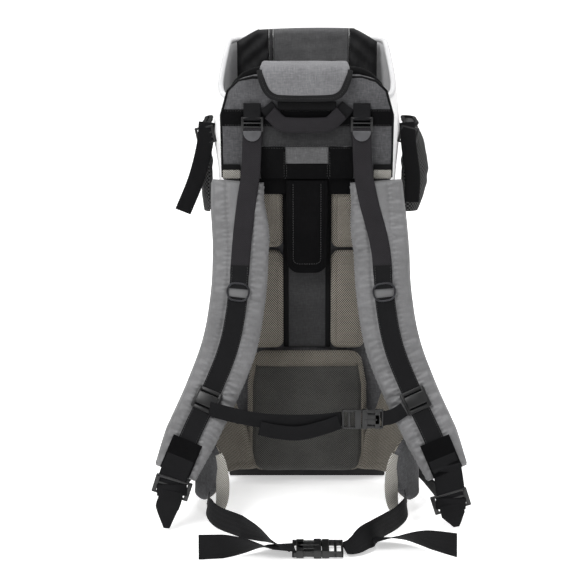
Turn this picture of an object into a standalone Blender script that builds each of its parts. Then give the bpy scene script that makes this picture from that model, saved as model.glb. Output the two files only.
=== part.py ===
"""Frame child carrier backpack, standing on its open kickstand. Metres, +Z up, wearer's side at -Y."""
import math

import bmesh
import bpy
import numpy as np
from mathutils import Matrix, Vector

# driving dimensions
GAP = 0.0003
FRAME_R = 0.011
UPRIGHT_X = 0.120
FRAME_TOP = 0.700
FRAME_CORNER = 0.050
HOOP_R = 0.008
HOOP_Z = 0.245
HOOP_Y = 0.272
STAND_R = 0.008
STAND_X = 0.140
PIVOT_Y = 0.205
PIVOT_Z = 0.215
STAND_FOOT_Y = 0.305
STAND_FOOT_Z = 0.016
HUB_R = 0.014
HUB_W = 0.016
PIN_R = 0.004
PANEL_BACK = -0.0114
PANEL_FRONT = -0.0234
PAD_FRONT = -0.0400
YOKE_FRONT = -0.0445
COVER_FRONT = -0.0500
CHIN_FRONT = -0.0640
SLOT_Z = 0.535
POD_BOTTOM = 0.256
POD_YC = 0.1375
POD_WALL = 0.009
WEB_T = 0.0016
WEB_W = 0.032
PAD_T = 0.018

COLOURS = {
    "aluminium": ((0.62, 0.63, 0.65), 0.35, 1.0),
    "steel": ((0.55, 0.56, 0.58), 0.3, 1.0),
    "acetal": ((0.012, 0.012, 0.013), 0.45, 0.0),
    "rubber": ((0.02, 0.02, 0.02), 0.8, 0.0),
    "webbing": ((0.011, 0.011, 0.013), 0.75, 0.0),
    "heather": ((0.22, 0.22, 0.225), 0.9, 0.0),
    "ripstop": ((0.25, 0.25, 0.255), 0.85, 0.0),
    "spacer": ((0.30, 0.285, 0.25), 0.95, 0.0),
    "dark_spacer": ((0.07, 0.07, 0.068), 0.95, 0.0),
    "pale": ((0.75, 0.75, 0.75), 0.85, 0.0),
    "black_cloth": ((0.012, 0.012, 0.013), 0.8, 0.0),
    "mesh": ((0.015, 0.015, 0.016), 0.9, 0.0),
}


def clear_scene():
    for item in list(bpy.data.objects):
        bpy.data.objects.remove(item, do_unlink=True)
    for block in list(bpy.data.meshes):
        bpy.data.meshes.remove(block)


def collection(name):
    group = bpy.data.collections.new(name)
    bpy.context.scene.collection.children.link(group)
    return group


def material(name, kind):
    colour, rough, metal = COLOURS[kind]
    mat = bpy.data.materials.new(name)
    mat.use_nodes = True
    shader = mat.node_tree.nodes["Principled BSDF"]
    shader.inputs["Base Color"].default_value = (*colour, 1.0)
    shader.inputs["Roughness"].default_value = rough
    shader.inputs["Metallic"].default_value = metal
    mat.diffuse_color = (*colour, 1.0)
    return mat


def place(name, mesh_or_curve, kind, group, origin=(0, 0, 0)):
    """Adds one named node; its vertices are in world space and its origin moves to the given point."""
    obj = bpy.data.objects.new(name, mesh_or_curve)
    mesh_or_curve.materials.append(material(name + "_material", kind))
    group.objects.link(obj)
    shift = Vector(origin)
    if shift.length > 0:
        mesh_or_curve.transform(Matrix.Translation(-shift))
        obj.location = shift
    return obj


def from_bmesh(name, bm, kind, group, origin=(0, 0, 0)):
    bmesh.ops.recalc_face_normals(bm, faces=bm.faces[:])
    mesh = bpy.data.meshes.new(name)
    bm.to_mesh(mesh)
    bm.free()
    return place(name, mesh, kind, group, origin)


def bevel(obj, width, segments=2, angle=35.0):
    mod = obj.modifiers.new("edge", "BEVEL")
    mod.width = width
    mod.segments = segments
    mod.limit_method = "ANGLE"
    mod.angle_limit = math.radians(angle)
    return obj


def block(name, low, high, kind, group, edge=0.0, frame=None, origin=(0, 0, 0)):
    """A box between two corners, or in a local frame (a 4x4 matrix) when one is given."""
    bm = bmesh.new()
    bmesh.ops.create_cube(bm, size=1.0)
    centre = [(a + b) / 2 for a, b in zip(low, high)]
    size = [b - a for a, b in zip(low, high)]
    for vert in bm.verts:
        vert.co = Vector([c + s * v for c, s, v in zip(centre, size, vert.co)])
    if frame is not None:
        bmesh.ops.transform(bm, matrix=frame, verts=bm.verts[:])
    obj = from_bmesh(name, bm, kind, group, origin)
    if edge > 0:
        bevel(obj, edge)
    return obj


def cylinder(name, start, end, radius, kind, group, sides=20, origin=(0, 0, 0)):
    """A round bar between two points."""
    bm = bmesh.new()
    axis = Vector(end) - Vector(start)
    turn = axis.to_track_quat("Z", "Y").to_matrix().to_4x4()
    middle = Matrix.Translation((Vector(start) + Vector(end)) / 2)
    bmesh.ops.create_cone(bm, cap_ends=True, segments=sides, radius1=radius, radius2=radius,
                          depth=axis.length, matrix=middle @ turn)
    return from_bmesh(name, bm, kind, group, origin)


def cut(obj, *cutters):
    """Takes the cutters out of an object and bakes the result."""
    return combine(obj, "DIFFERENCE", *cutters)


def combine(obj, operation, *others):
    for other in others:
        mod = obj.modifiers.new("boolean", "BOOLEAN")
        mod.operation = operation
        mod.solver = "EXACT"
        mod.object = other
    bpy.context.view_layer.update()
    graph = bpy.context.evaluated_depsgraph_get()
    baked = bpy.data.meshes.new_from_object(obj.evaluated_get(graph))
    obj.modifiers.clear()
    obj.data = baked
    for other in others:
        bpy.data.objects.remove(other, do_unlink=True)
    return obj


def tube(name, points, radius, kind, group, closed=False, sides=2, origin=(0, 0, 0)):
    """A round tube or wire along a route."""
    curve = bpy.data.curves.new(name, "CURVE")
    curve.dimensions = "3D"
    curve.bevel_depth = radius
    curve.bevel_resolution = sides
    curve.use_fill_caps = not closed
    spline = curve.splines.new("POLY")
    spline.points.add(len(points) - 1)
    for slot, point in zip(spline.points, points):
        slot.co = (*point, 1.0)
    spline.use_cyclic_u = closed
    return place(name, curve, kind, group, origin)


def smooth(points, count):
    """A Catmull-Rom curve through the route's own points, read at even steps of length."""
    pts = np.array(points, float)
    ext = np.vstack([2 * pts[0] - pts[1], pts, 2 * pts[-1] - pts[-2]])
    fine = []
    for i in range(1, len(ext) - 2):
        for t in np.linspace(0, 1, 24, endpoint=False):
            a, b, c, d = ext[i - 1], ext[i], ext[i + 1], ext[i + 2]
            fine.append(0.5 * (2 * b + (c - a) * t + (2 * a - 5 * b + 4 * c - d) * t ** 2
                               + (3 * b - a - 3 * c + d) * t ** 3))
    fine.append(pts[-1])
    fine = np.array(fine)
    run = np.concatenate([[0], np.cumsum(np.linalg.norm(np.diff(fine, axis=0), axis=1))])
    want = np.linspace(0, run[-1], count)
    return np.stack([np.interp(want, run, fine[:, k]) for k in range(3)], axis=1)


def unit(v):
    return v / np.linalg.norm(v, axis=-1, keepdims=True)


def tangents(path):
    return unit(np.gradient(path, axis=0))


def ribbon(name, path, across, width, thick, kind, group, origin=(0, 0, 0), edge_round=False):
    """A flat band: a rectangle swept along a path, its width along the across vectors."""
    path = np.array(path, float)
    along = tangents(path)
    across = np.broadcast_to(np.array(across, float), path.shape)
    across = unit(across - along * np.sum(across * along, axis=1, keepdims=True))
    normal = np.cross(along, across)
    wide = np.broadcast_to(np.array(width, float), (len(path),)) / 2
    deep = np.broadcast_to(np.array(thick, float), (len(path),)) / 2
    if edge_round:
        section = [(-1, 0.35), (-1, -0.35), (-0.86, -1), (0.86, -1), (1, -0.35), (1, 0.35), (0.86, 1), (-0.86, 1)]
    else:
        section = [(-1, 1), (-1, -1), (1, -1), (1, 1)]
    bm = bmesh.new()
    rings = []
    for p, w, n, hw, hd in zip(path, across, normal, wide, deep):
        rings.append([bm.verts.new(Vector(p + w * hw * a + n * hd * b)) for a, b in section])
    for first, second in zip(rings[:-1], rings[1:]):
        for k in range(len(section)):
            m = (k + 1) % len(section)
            bm.faces.new([first[k], first[m], second[m], second[k]])
    bm.faces.new(rings[0])
    bm.faces.new(rings[-1][::-1])
    return from_bmesh(name, bm, kind, group, origin)


def slab(name, outline, front, back, kind, group, edge=0.0, origin=(0, 0, 0)):
    """An outline in X and Z given thickness between two Y planes, with softened edges."""
    bm = bmesh.new()
    loop = [bm.verts.new((x, front, z)) for x, z in outline]
    face = bm.faces.new(loop)
    grown = bmesh.ops.extrude_face_region(bm, geom=[face])
    moved = [g for g in grown["geom"] if isinstance(g, bmesh.types.BMVert)]
    bmesh.ops.translate(bm, verts=moved, vec=(0, back - front, 0))
    obj = from_bmesh(name, bm, kind, group, origin)
    if edge > 0:
        bevel(obj, edge, 2, 40)
    return obj


def profile(name, outline, half_width, kind, group, edge=0.0):
    """An outline in Y and Z given width along X."""
    bm = bmesh.new()
    loop = [bm.verts.new((-half_width, y, z)) for y, z in outline]
    face = bm.faces.new(loop)
    grown = bmesh.ops.extrude_face_region(bm, geom=[face])
    moved = [g for g in grown["geom"] if isinstance(g, bmesh.types.BMVert)]
    bmesh.ops.translate(bm, verts=moved, vec=(2 * half_width, 0, 0))
    obj = from_bmesh(name, bm, kind, group)
    if edge > 0:
        bevel(obj, edge, 2, 40)
    return obj


def rounded(corners, radius, steps=4):
    """A polygon's corners rounded by short arcs (quadratic), for outlines."""
    result = []
    total = len(corners)
    for i in range(total):
        here = np.array(corners[i], float)
        before = np.array(corners[i - 1], float) - here
        after = np.array(corners[(i + 1) % total], float) - here
        reach = min(radius, 0.45 * np.linalg.norm(before), 0.45 * np.linalg.norm(after))
        a = here + unit(before) * reach
        b = here + unit(after) * reach
        for t in np.linspace(0, 1, steps + 1):
            result.append(tuple((1 - t) ** 2 * a + 2 * t * (1 - t) * here + t * t * b))
    return result


def mirror_x(points):
    """Both halves of a symmetric outline from its right half, listed from bottom to top."""
    return [tuple(p) for p in points] + [(-p[0], p[1]) for p in reversed(points)]


# shoulder pad centreline for the right side: x, y, z and half-width
PAD_ROUTE = [
    (0.1060, -0.0560, 0.5330, 0.0490),
    (0.1100, -0.0760, 0.4800, 0.0480),
    (0.1140, -0.0930, 0.4300, 0.0445),
    (0.1180, -0.1140, 0.3600, 0.0440),
    (0.1320, -0.1340, 0.2800, 0.0440),
    (0.1600, -0.1600, 0.2090, 0.0425),
    (0.1950, -0.1980, 0.1400, 0.0410),
    (0.2180, -0.2220, 0.0900, 0.0340),
]


# lower adjusters' centres, and the right-hand web from an adjuster back to the frame
ADJUSTERS = {"L": (-0.2150, -0.2400, 0.0730), "R": (0.2300, -0.2340, 0.0470)}
LOWER_WEB = np.array([(0.2235, -0.2265, 0.0440), (0.2180, -0.200, 0.038), (0.206, -0.130, 0.036),
                      (0.184, -0.065, 0.040), (0.155, -0.030, 0.046), (0.1375, -0.0245, 0.050)])
WEB_FOLLOW = np.array([1.0, 0.85, 0.4, 0.1, 0.0, 0.0])

# both shoulder pads hang a little towards +X below their top seam
HARNESS_LEAN = 0.0068


def leaned(points):
    """Points moved along X by the harness lean, which grows over the pads' top 120 mm."""
    points = np.array(points, float)
    share = np.clip((0.533 - points[..., 2]) / 0.120, 0, 1)
    points[..., 0] += HARNESS_LEAN * (3 * share ** 2 - 2 * share ** 3)
    return points


def pad_curve(count):
    """Even points, half-widths, tangents, across and outward vectors of the right shoulder pad."""
    raw = np.array(PAD_ROUTE)
    path = smooth(raw[:, :3], count)
    halves = np.interp(-path[:, 2], -raw[:, 2], raw[:, 3])
    along = tangents(path)
    across = unit(np.array([1.0, 0, 0]) - along * along[:, :1])
    outward = np.cross(across, along)
    outward = np.where(outward[:, 1:2] > 0, -outward, outward)
    return path, halves, along, across, outward


def on_pad(z, side, lift):
    """A 4x4 frame on the pad's outer face at a height: local X across, Y outward, Z up the pad."""
    path, halves, along, across, outward = pad_curve(200)
    k = int(np.argmin(np.abs(path[:, 2] - z)))
    where = path[k] + outward[k] * (PAD_T / 2 + lift)
    flip = np.array([side, 1, 1])
    where = leaned(where * flip)
    columns = [across[k] * flip * side, outward[k] * flip, -along[k] * flip]
    frame = Matrix.Identity(4)
    for c in range(3):
        for r in range(3):
            frame[r][c] = columns[c][r]
    for r in range(3):
        frame[r][3] = where[r]
    return frame


def build_frame(group):
    left = [(-UPRIGHT_X, 0, 0.0303), (-UPRIGHT_X, 0, FRAME_TOP - FRAME_CORNER)]
    arc = []
    for k in range(1, 9):
        angle = math.pi - k * math.pi / 16
        arc.append((-UPRIGHT_X + FRAME_CORNER + FRAME_CORNER * math.cos(angle), 0,
                    FRAME_TOP - FRAME_CORNER + FRAME_CORNER * math.sin(angle)))
    route = left + arc
    route = route + [(-x, y, z) for x, y, z in reversed(route)]
    tube("main_frame_tube", route, FRAME_R, "aluminium", group)
    block("base_bar", (-0.136, -0.0105, 0.0), (0.136, 0.0135, 0.030), "rubber", group, 0.0025)
    half = smooth([(-0.120, 0.0125, 0.238), (-0.1205, 0.0230, 0.239), (-0.138, 0.070, HOOP_Z), (-0.140, 0.150, HOOP_Z),
                   (-0.140, 0.205, HOOP_Z), (-0.140, 0.228, HOOP_Z + 0.001), (-0.1395, 0.2600, 0.270), (-0.137, HOOP_Y, 0.320), (-0.134, HOOP_Y, 0.480),
                   (-0.130, HOOP_Y, 0.620), (-0.110, HOOP_Y, 0.690), (-0.060, HOOP_Y, 0.716), (0, HOOP_Y, 0.719)], 26)
    half = [tuple(p) for p in half]
    tube("seat_hoop_tube", half + [(-x, y, z) for x, y, z in reversed(half[:-1])], HOOP_R, "aluminium", group)


def build_kickstand(group, scrap):
    pivot = Vector((0, PIVOT_Y, PIVOT_Z))
    foot = Vector((0, STAND_FOOT_Y, STAND_FOOT_Z))
    down = (foot - pivot).normalized()
    length = (foot - pivot).length
    corner = 0.030
    half = [(-STAND_X, HUB_R - 0.003), (-STAND_X, length - corner)]
    for k in range(1, 7):
        angle = k * math.pi / 12
        half.append((-STAND_X + corner - corner * math.cos(angle), length - corner + corner * math.sin(angle)))
    route = [Vector((x, 0, 0)) + pivot + down * u for x, u in half]
    route = route + [Vector((-p.x, p.y, p.z)) for p in reversed(route)]
    stand = tube("kickstand_tube", [tuple(p) for p in route], STAND_R, "aluminium", group)
    graph = bpy.context.evaluated_depsgraph_get()
    mesh = bpy.data.meshes.new_from_object(stand.evaluated_get(graph))
    bpy.data.objects.remove(stand, do_unlink=True)
    bm = bmesh.new()
    bm.from_mesh(mesh)
    bmesh.ops.remove_doubles(bm, verts=bm.verts[:], dist=0.00005)
    mesh.materials.clear()
    stand = from_bmesh("kickstand_tube", bm, "aluminium", group)
    hubs = []
    for side in (-1, 1):
        x = side * STAND_X
        hubs.append(cylinder("hub_tool", (x - HUB_W / 2, PIVOT_Y, PIVOT_Z), (x + HUB_W / 2, PIVOT_Y, PIVOT_Z),
                             HUB_R, "acetal", scrap, 24))
    combine(stand, "UNION", *hubs)
    holes = []
    for side in (-1, 1):
        x = side * STAND_X
        holes.append(cylinder("hole_tool", (x - 0.02, PIVOT_Y, PIVOT_Z), (x + 0.02, PIVOT_Y, PIVOT_Z),
                              PIN_R + GAP, "acetal", scrap, 20))
    cut(stand, *holes)
    stand.data.transform(Matrix.Translation(-pivot))
    stand.location = pivot
    for side, tag in ((-1, "L"), (1, "R")):
        x = side * STAND_X
        low = (x - 0.0115 if side > 0 else x - 0.020, PIVOT_Y - 0.022, 0.192)
        high = (x + 0.020 if side > 0 else x + 0.0115, PIVOT_Y + 0.022, HOOP_Z - HOOP_R - 0.0025)
        bracket = block("hinge_bracket_" + tag, low, high, "acetal", group, 0.0015)
        slot = block("slot_tool", (x - HUB_W / 2 - GAP, 0.10, 0.150), (x + HUB_W / 2 + GAP, 0.30, PIVOT_Z + HUB_R + 0.001),
                     "acetal", scrap)
        bore = cylinder("bore_tool", (x - 0.03, PIVOT_Y, PIVOT_Z), (x + 0.03, PIVOT_Y, PIVOT_Z), PIN_R + GAP,
                        "acetal", scrap, 20)
        well = cylinder("well_tool", (x + side * 0.0105, PIVOT_Y - 0.012, PIVOT_Z + 0.011),
                        (x + side * 0.030, PIVOT_Y - 0.012, PIVOT_Z + 0.011), 0.0053, "acetal", scrap, 20)
        cut(bracket, slot, bore, well)
        cylinder("pivot_pin_" + tag, (x - side * 0.0125, PIVOT_Y, PIVOT_Z), (x + side * 0.0215, PIVOT_Y, PIVOT_Z),
                 PIN_R, "steel", group, 20)
        start = (x + side * 0.0140, PIVOT_Y - 0.012, PIVOT_Z + 0.011)
        end = (x + side * 0.0235, PIVOT_Y - 0.012, PIVOT_Z + 0.011)
        bevel(cylinder("lock_button_" + tag, start, end, 0.005, "acetal", group, 20, start), 0.0006)
        foot_x = side * 0.085
        pad = block("stand_foot_" + tag, (foot_x - 0.020, STAND_FOOT_Y - 0.012, 0.0),
                    (foot_x + 0.020, STAND_FOOT_Y + 0.012, STAND_FOOT_Z), "rubber", group, 0.0015, None)
        groove = cylinder("groove_tool", (foot_x - 0.03, STAND_FOOT_Y, STAND_FOOT_Z),
                          (foot_x + 0.03, STAND_FOOT_Y, STAND_FOOT_Z), STAND_R + GAP, "rubber", scrap, 24)
        cut(pad, groove)
        pad.data.transform(Matrix.Translation(-pivot))
        pad.location = pivot


def pod_ring(theta, height, inset):
    """One level of the seat pod: a rounded rectangle whose size grows with height."""
    grow = min(1.0, max(0.0, (height - POD_BOTTOM) / 0.34))
    lean = min(1.0, max(0.0, (height - 0.590) / 0.140))
    half_x = 0.118 + 0.045 * grow ** 0.8 - 0.021 * lean ** 1.2 - inset
    half_y = 0.112 + 0.0125 * grow - inset
    c, s = math.cos(theta), math.sin(theta)
    x = half_x * math.copysign(abs(c) ** 0.5, c)
    y = POD_YC + half_y * math.copysign(abs(s) ** 0.5, s)
    return x, y


def rim_height(y):
    t = min(1.0, max(0.0, (y - 0.03) / 0.17))
    return 0.655 + 0.078 * (3 * t * t - 2 * t ** 3)


def build_pod(group, scrap):
    sides = 36
    levels = [0.0, 0.04, 0.16, 0.36, 0.6, 0.76, 0.88, 1.0]
    bm = bmesh.new()
    rings = []
    for inset, floor_z in ((0.0, POD_BOTTOM), (POD_WALL, POD_BOTTOM + 0.012)):
        part = []
        for level in levels:
            ring = []
            for k in range(sides):
                theta = 2 * math.pi * (k + 0.5) / sides
                x, y = pod_ring(theta, floor_z + level * (0.66 - floor_z), inset)
                z = floor_z + level * (rim_height(y) - floor_z)
                x, y = pod_ring(theta, z, inset)
                pull = 0.90 if level == 0.0 else 1.0
                ring.append(bm.verts.new((x * pull, POD_YC + (y - POD_YC) * pull, z)))
            part.append(ring)
        rings.append(part)
    outer, inner = rings
    chain = outer + inner[::-1]
    for first, second in zip(chain[:-1], chain[1:]):
        for k in range(sides):
            m = (k + 1) % sides
            bm.faces.new([first[k], first[m], second[m], second[k]])
    bm.faces.new(outer[0])
    bm.faces.new(inner[0])
    pod = from_bmesh("pod_shell", bm, "pale", group)
    opening = block("leg_tool", (-0.30, 0.034, 0.330), (0.30, 0.112, 0.455), "pale", scrap)
    cut(pod, opening)
    seat = [(0.046, 0.330), (0.070, 0.322), (0.205, 0.322), (0.226, 0.345), (0.226, 0.570), (0.219, 0.576),
            (0.208, 0.570), (0.200, 0.400), (0.180, 0.362), (0.070, 0.356), (0.046, 0.350)]
    profile("child_seat", seat, 0.085, "heather", group, 0.004)
    block("seat_base", (-0.074, 0.066, POD_BOTTOM + 0.0130), (0.074, 0.204, 0.3215), "black_cloth", group, 0.004)
    top = [(0.116, 0.585), (0.121, 0.730), (0.108, 0.746), (0.086, 0.754), (0.030, 0.757)]
    slab("headrest", rounded(mirror_x(top), 0.012, 2), 0.1980, 0.2150, "black_cloth", group, 0.005)
    harness_path = smooth([(0.052, 0.1950, 0.700), (0.050, 0.1945, 0.620), (0.046, 0.190, 0.560), (0.036, 0.180, 0.470),
                           (0.018, 0.162, 0.418), (0.0, 0.160, 0.410)], 13)
    harness_path = np.vstack([harness_path, harness_path[::-1][1:] * np.array([-1, 1, 1])])
    along = tangents(harness_path)
    across = np.cross(along, np.array([0, -0.6, 0.8]))
    ribbon("child_harness", harness_path, across, 0.022, WEB_T, "webbing", group)
    buckle = block("harness_buckle", (-0.022, 0.1250, 0.3660), (0.022, 0.1430, 0.3880), "acetal", group, 0.003)
    well = block("button_tool", (-0.0095, 0.1200, 0.3700), (0.0095, 0.1350, 0.3840), "acetal", scrap)
    cut(buckle, well)
    bevel(block("harness_button", (-0.0088, 0.1230, 0.3707), (0.0088, 0.1310, 0.3833), "acetal", group, 0.0,
                None, (0, 0.1310, 0.377)), 0.001)


def build_storage(group):
    low, high = (-0.116, 0.050, 0.080), (0.116, 0.198, 0.234)
    block("storage_bag", low, high, "heather", group, 0.016)
    slider = block("zipper_slider", (0.070, 0.1983, 0.1880), (0.084, 0.2035, 0.2000), "steel", group, 0.0012,
                   None, (0.077, 0.2, 0.194))
    return slider


def build_panel(group, scrap):
    body = [(0.098, 0.034), (0.128, 0.060), (0.136, 0.300), (0.140, 0.640), (0.129, 0.679), (0.112, 0.695), (0.083, 0.7025)]
    slab("back_panel", rounded(mirror_x(body), 0.012, 2), PANEL_FRONT, PANEL_BACK, "heather", group, 0.003)
    upper = [(0.139, SLOT_Z), (0.140, 0.640), (0.129, 0.679), (0.112, 0.695), (0.083, 0.7025)]
    slab("upper_panel_pad", rounded(mirror_x(upper), 0.008, 2), PAD_FRONT, PANEL_FRONT - GAP, "heather", group, 0.004)
    slab("upper_cover", rounded(mirror_x(upper), 0.008, 2), COVER_FRONT, YOKE_FRONT - GAP, "heather", group, 0.0015)
    yoke = [(0.112, 0.508), (0.112, 0.590)]
    slab("yoke_plate", rounded(mirror_x(yoke), 0.014, 3), YOKE_FRONT, PAD_FRONT - GAP, "black_cloth", group, 0.001)
    flap = [(0.018, 0.376), (0.034, 0.392), (0.0345, SLOT_Z - 0.0008)]
    slab("height_tongue", rounded(mirror_x(flap), 0.012, 3), -0.0535, YOKE_FRONT - GAP, "black_cloth", group, 0.002)
    for side, tag in ((-1, "L"), (1, "R")):
        upper_pad = [(0.0395, 0.416), (0.104, 0.416), (0.108, 0.533), (0.0395, 0.533)]
        lower_pad = [(0.0395, 0.241), (0.096, 0.241), (0.103, 0.412), (0.0395, 0.412)]
        slab("back_pad_upper_" + tag, rounded([(side * x, z) for x, z in upper_pad], 0.014, 3), PAD_FRONT,
             PANEL_FRONT - GAP, "spacer", group, 0.006)
        slab("back_pad_lower_" + tag, rounded([(side * x, z) for x, z in lower_pad], 0.014, 3), PAD_FRONT,
             PANEL_FRONT - GAP, "spacer", group, 0.006)
    lumbar = [(0.094, 0.022), (0.103, 0.060), (0.101, 0.180), (0.090, 0.2385)]
    slab("lumbar_pad", rounded(mirror_x(lumbar), 0.018, 3), -0.0600, PANEL_FRONT - GAP, "dark_spacer", group, 0.012)
    hook = [(CHIN_FRONT, 0.664), (CHIN_FRONT, 0.714), (-0.056, 0.7235), (0.028, 0.7235), (0.0375, 0.7155), (0.0375, 0.630),
            (0.0260, 0.630), (0.0260, 0.7125), (COVER_FRONT - GAP, 0.7125), (COVER_FRONT - GAP, 0.664)]
    profile("chin_pad", hook, 0.071, "heather", group, 0.003)
    handle = smooth([(-0.0500, -0.0530, 0.650), (-0.0480, -0.0560, 0.636), (-0.034, -0.0600, 0.6225),
                     (0.0, -0.0620, 0.6170), (0.034, -0.0600, 0.6225), (0.0480, -0.0560, 0.636),
                     (0.0500, -0.0530, 0.650)], 21)
    facing = np.cross(tangents(handle), np.array([0, -1.0, 0]))
    ribbon("grab_handle", handle, facing, 0.022, 0.003, "webbing", group, (0, -0.0530, 0.650))
    for side, tag in ((-1, "L"), (1, "R")):
        ladder_lock("lifter_buckle_" + tag, Matrix.Translation((side * 0.0885, -0.0560, 0.6185)), group, scrap,
                    (side * 0.0885, -0.0560, 0.634))


def ladder_lock(name, frame, group, scrap, origin, wide=0.037, tall=0.037):
    """A webbing buckle: a moulded frame with crossbars, its face along local Y, height along Z."""
    lock = block(name, (-wide / 2, -0.0028, -tall / 2), (wide / 2, 0.0028, tall / 2), "acetal", group, 0.0015, frame)
    tools = []
    for low, high in ((-0.39, -0.23), (-0.12, 0.04), (0.16, 0.38)):
        tools.append(block("slot_tool", (-wide / 2 + 0.0035, -0.01, low * tall),
                           (wide / 2 - 0.0035, 0.01, high * tall), "acetal", scrap, 0.0, frame))
    cut(lock, *tools)
    shift = Vector(origin)
    lock.data.transform(Matrix.Translation(-shift))
    lock.location = shift
    return lock


def build_straps(group, scrap):
    path, halves, along, across, outward = pad_curve(17)
    for side, tag in ((-1, "L"), (1, "R")):
        flip = np.array([side, 1, 1])
        ribbon("shoulder_pad_" + tag, leaned(path * flip), across * flip, halves * 2, PAD_T, "ripstop", group, (0, 0, 0), True)
        start = np.array([[0.0885, -0.0565, 0.5975], [0.0915, -0.0690, 0.5480]])
        fine, _, _, _, out = pad_curve(120)
        picks = [int(np.argmin(np.abs(fine[:, 2] - z))) for z in (0.50, 0.46, 0.425, 0.394)]
        route = np.vstack([start, [fine[k] + out[k] * (PAD_T / 2 + 0.0022) for k in picks]])
        route[2:, 0] += np.array([-0.010, -0.006, -0.003, 0.0])
        lifter = smooth(route, 12)
        ribbon("lifter_strap_" + tag, leaned(lifter * flip), np.array([1.0, 0, 0.0]), 0.028, WEB_T, "webbing", group)
        ring_frame = on_pad(0.362, side, 0.0032)
        ring = []
        for k in range(20):
            angle = 2 * math.pi * k / 20
            x = 0.0175 * math.copysign(abs(math.cos(angle)) ** 0.6, math.cos(angle))
            z = 0.0130 * math.sin(angle) if math.sin(angle) > 0 else 0.0150 * math.sin(angle)
            ring.append(tuple(ring_frame @ Vector((x, 0, z))))
        hinge = ring_frame @ Vector((0, 0, 0.0130))
        tube("d_ring_" + tag, ring, 0.0016, "steel", group, True, 1, tuple(hinge))
        slider_frame = on_pad(0.192, side, 0.0020)
        block("sternum_slider_" + tag, (-0.019, 0.0, -0.012), (0.019, 0.0070, 0.012), "acetal", group, 0.0015,
              slider_frame)
        centre = ADJUSTERS[tag]
        lock_frame = Matrix.Translation(centre) @ Matrix.Rotation(math.radians(-18 * side), 4, "Y")
        ladder_lock("lower_adjuster_" + tag, lock_frame, group, scrap, centre, 0.050, 0.028)
        web = LOWER_WEB * flip
        web[:, 0] += (centre[0] - side * 0.2220) * WEB_FOLLOW
        web[:, 2] += (centre[2] - 0.0600) * WEB_FOLLOW
        base = smooth(web, 11)
        ribbon("lower_web_" + tag, base, np.array([0, 0, 1.0]), 0.025, WEB_T, "webbing", group)


def build_hip(group, scrap):
    plan = smooth([(0.1075, -0.0400, 0), (0.134, -0.0480, 0), (0.161, -0.0750, 0), (0.177, -0.115, 0), (0.176, -0.150, 0),
                   (0.160, -0.177, 0), (0.142, -0.196, 0)], 15)
    for side, tag in ((-1, "L"), (1, "R")):
        flip = np.array([side, 1, 1])
        share = np.linspace(0, 1, len(plan))
        top = 0.205 - 0.068 * share ** 0.8 - 0.023 * share ** 4
        bottom = 0.022 - 0.006 * share ** 2
        route = plan * flip
        route[:, 2] = (top + bottom) / 2
        flat = tangents(plan * flip)
        across = np.tile([0, 0, 1.0], (len(route), 1))
        path = route.copy()
        bm_width = top - bottom
        wing(path, flat, across, bm_width, "hip_wing_" + tag, group)
    left = smooth([(-0.1300, -0.2140, 0.062), (-0.1300, -0.2300, 0.030), (-0.126, -0.2440, 0.0050), (-0.108, -0.2700, 0.0022),
                   (-0.070, -0.3040, 0.0022), (-0.040, -0.3260, 0.0050), (-0.0268, -0.3280, 0.0070)], 17)
    ribbon("hip_strap_L", left, turning(left), 0.038, WEB_T, "webbing", group)
    right = smooth([(0.1300, -0.2140, 0.070), (0.1310, -0.2310, 0.034), (0.130, -0.2460, 0.0050), (0.121, -0.2760, 0.0022),
                    (0.100, -0.3080, 0.0022), (0.072, -0.3260, 0.0050), (0.0598, -0.3280, 0.0070)], 17)
    ribbon("hip_strap_R", right, turning(right), 0.038, WEB_T, "webbing", group)
    side_buckle("hip_buckle", (-0.0230, 0.0220, 0.0560), -0.3280, 0.0075, 0.024, 0.0065, 0.030, "z", group, scrap)


def turning(path):
    """Across vectors of a flat strap that hangs with its width along X and ends lying flat on the floor."""
    along = tangents(path)
    side = np.cross(along, np.array([0, 0, 1.0]))
    side = np.where(np.linalg.norm(side, axis=1, keepdims=True) < 0.25, np.array([1.0, 0, 0]), side)
    side = np.where(side[:, 0:1] < 0, -side, side)
    blend = np.clip((0.03 - path[:, 2:3]) / 0.02, 0, 1)
    return unit(side * blend + np.array([1.0, 0, 0]) * (1 - blend) + 1e-6)


def wing(path, along, across, width, name, group):
    """A padded hip wing: an upright band whose height falls towards its tip."""
    normal = unit(np.cross(along, across))
    thick = 0.0075
    section = [(-1, 0.35), (-1, -0.35), (-0.93, -1), (0.93, -1), (1, -0.35), (1, 0.35), (0.93, 1), (-0.93, 1)]
    bm = bmesh.new()
    rings = []
    for p, w, n, size in zip(path, across, normal, width):
        rings.append([bm.verts.new(Vector(p + w * a * size / 2 + n * thick * b)) for a, b in section])
    for first, second in zip(rings[:-1], rings[1:]):
        for k in range(len(section)):
            m = (k + 1) % len(section)
            bm.faces.new([first[k], first[m], second[m], second[k]])
    bm.faces.new(rings[0])
    bm.faces.new(rings[-1][::-1])
    return from_bmesh(name, bm, "heather", group)


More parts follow.
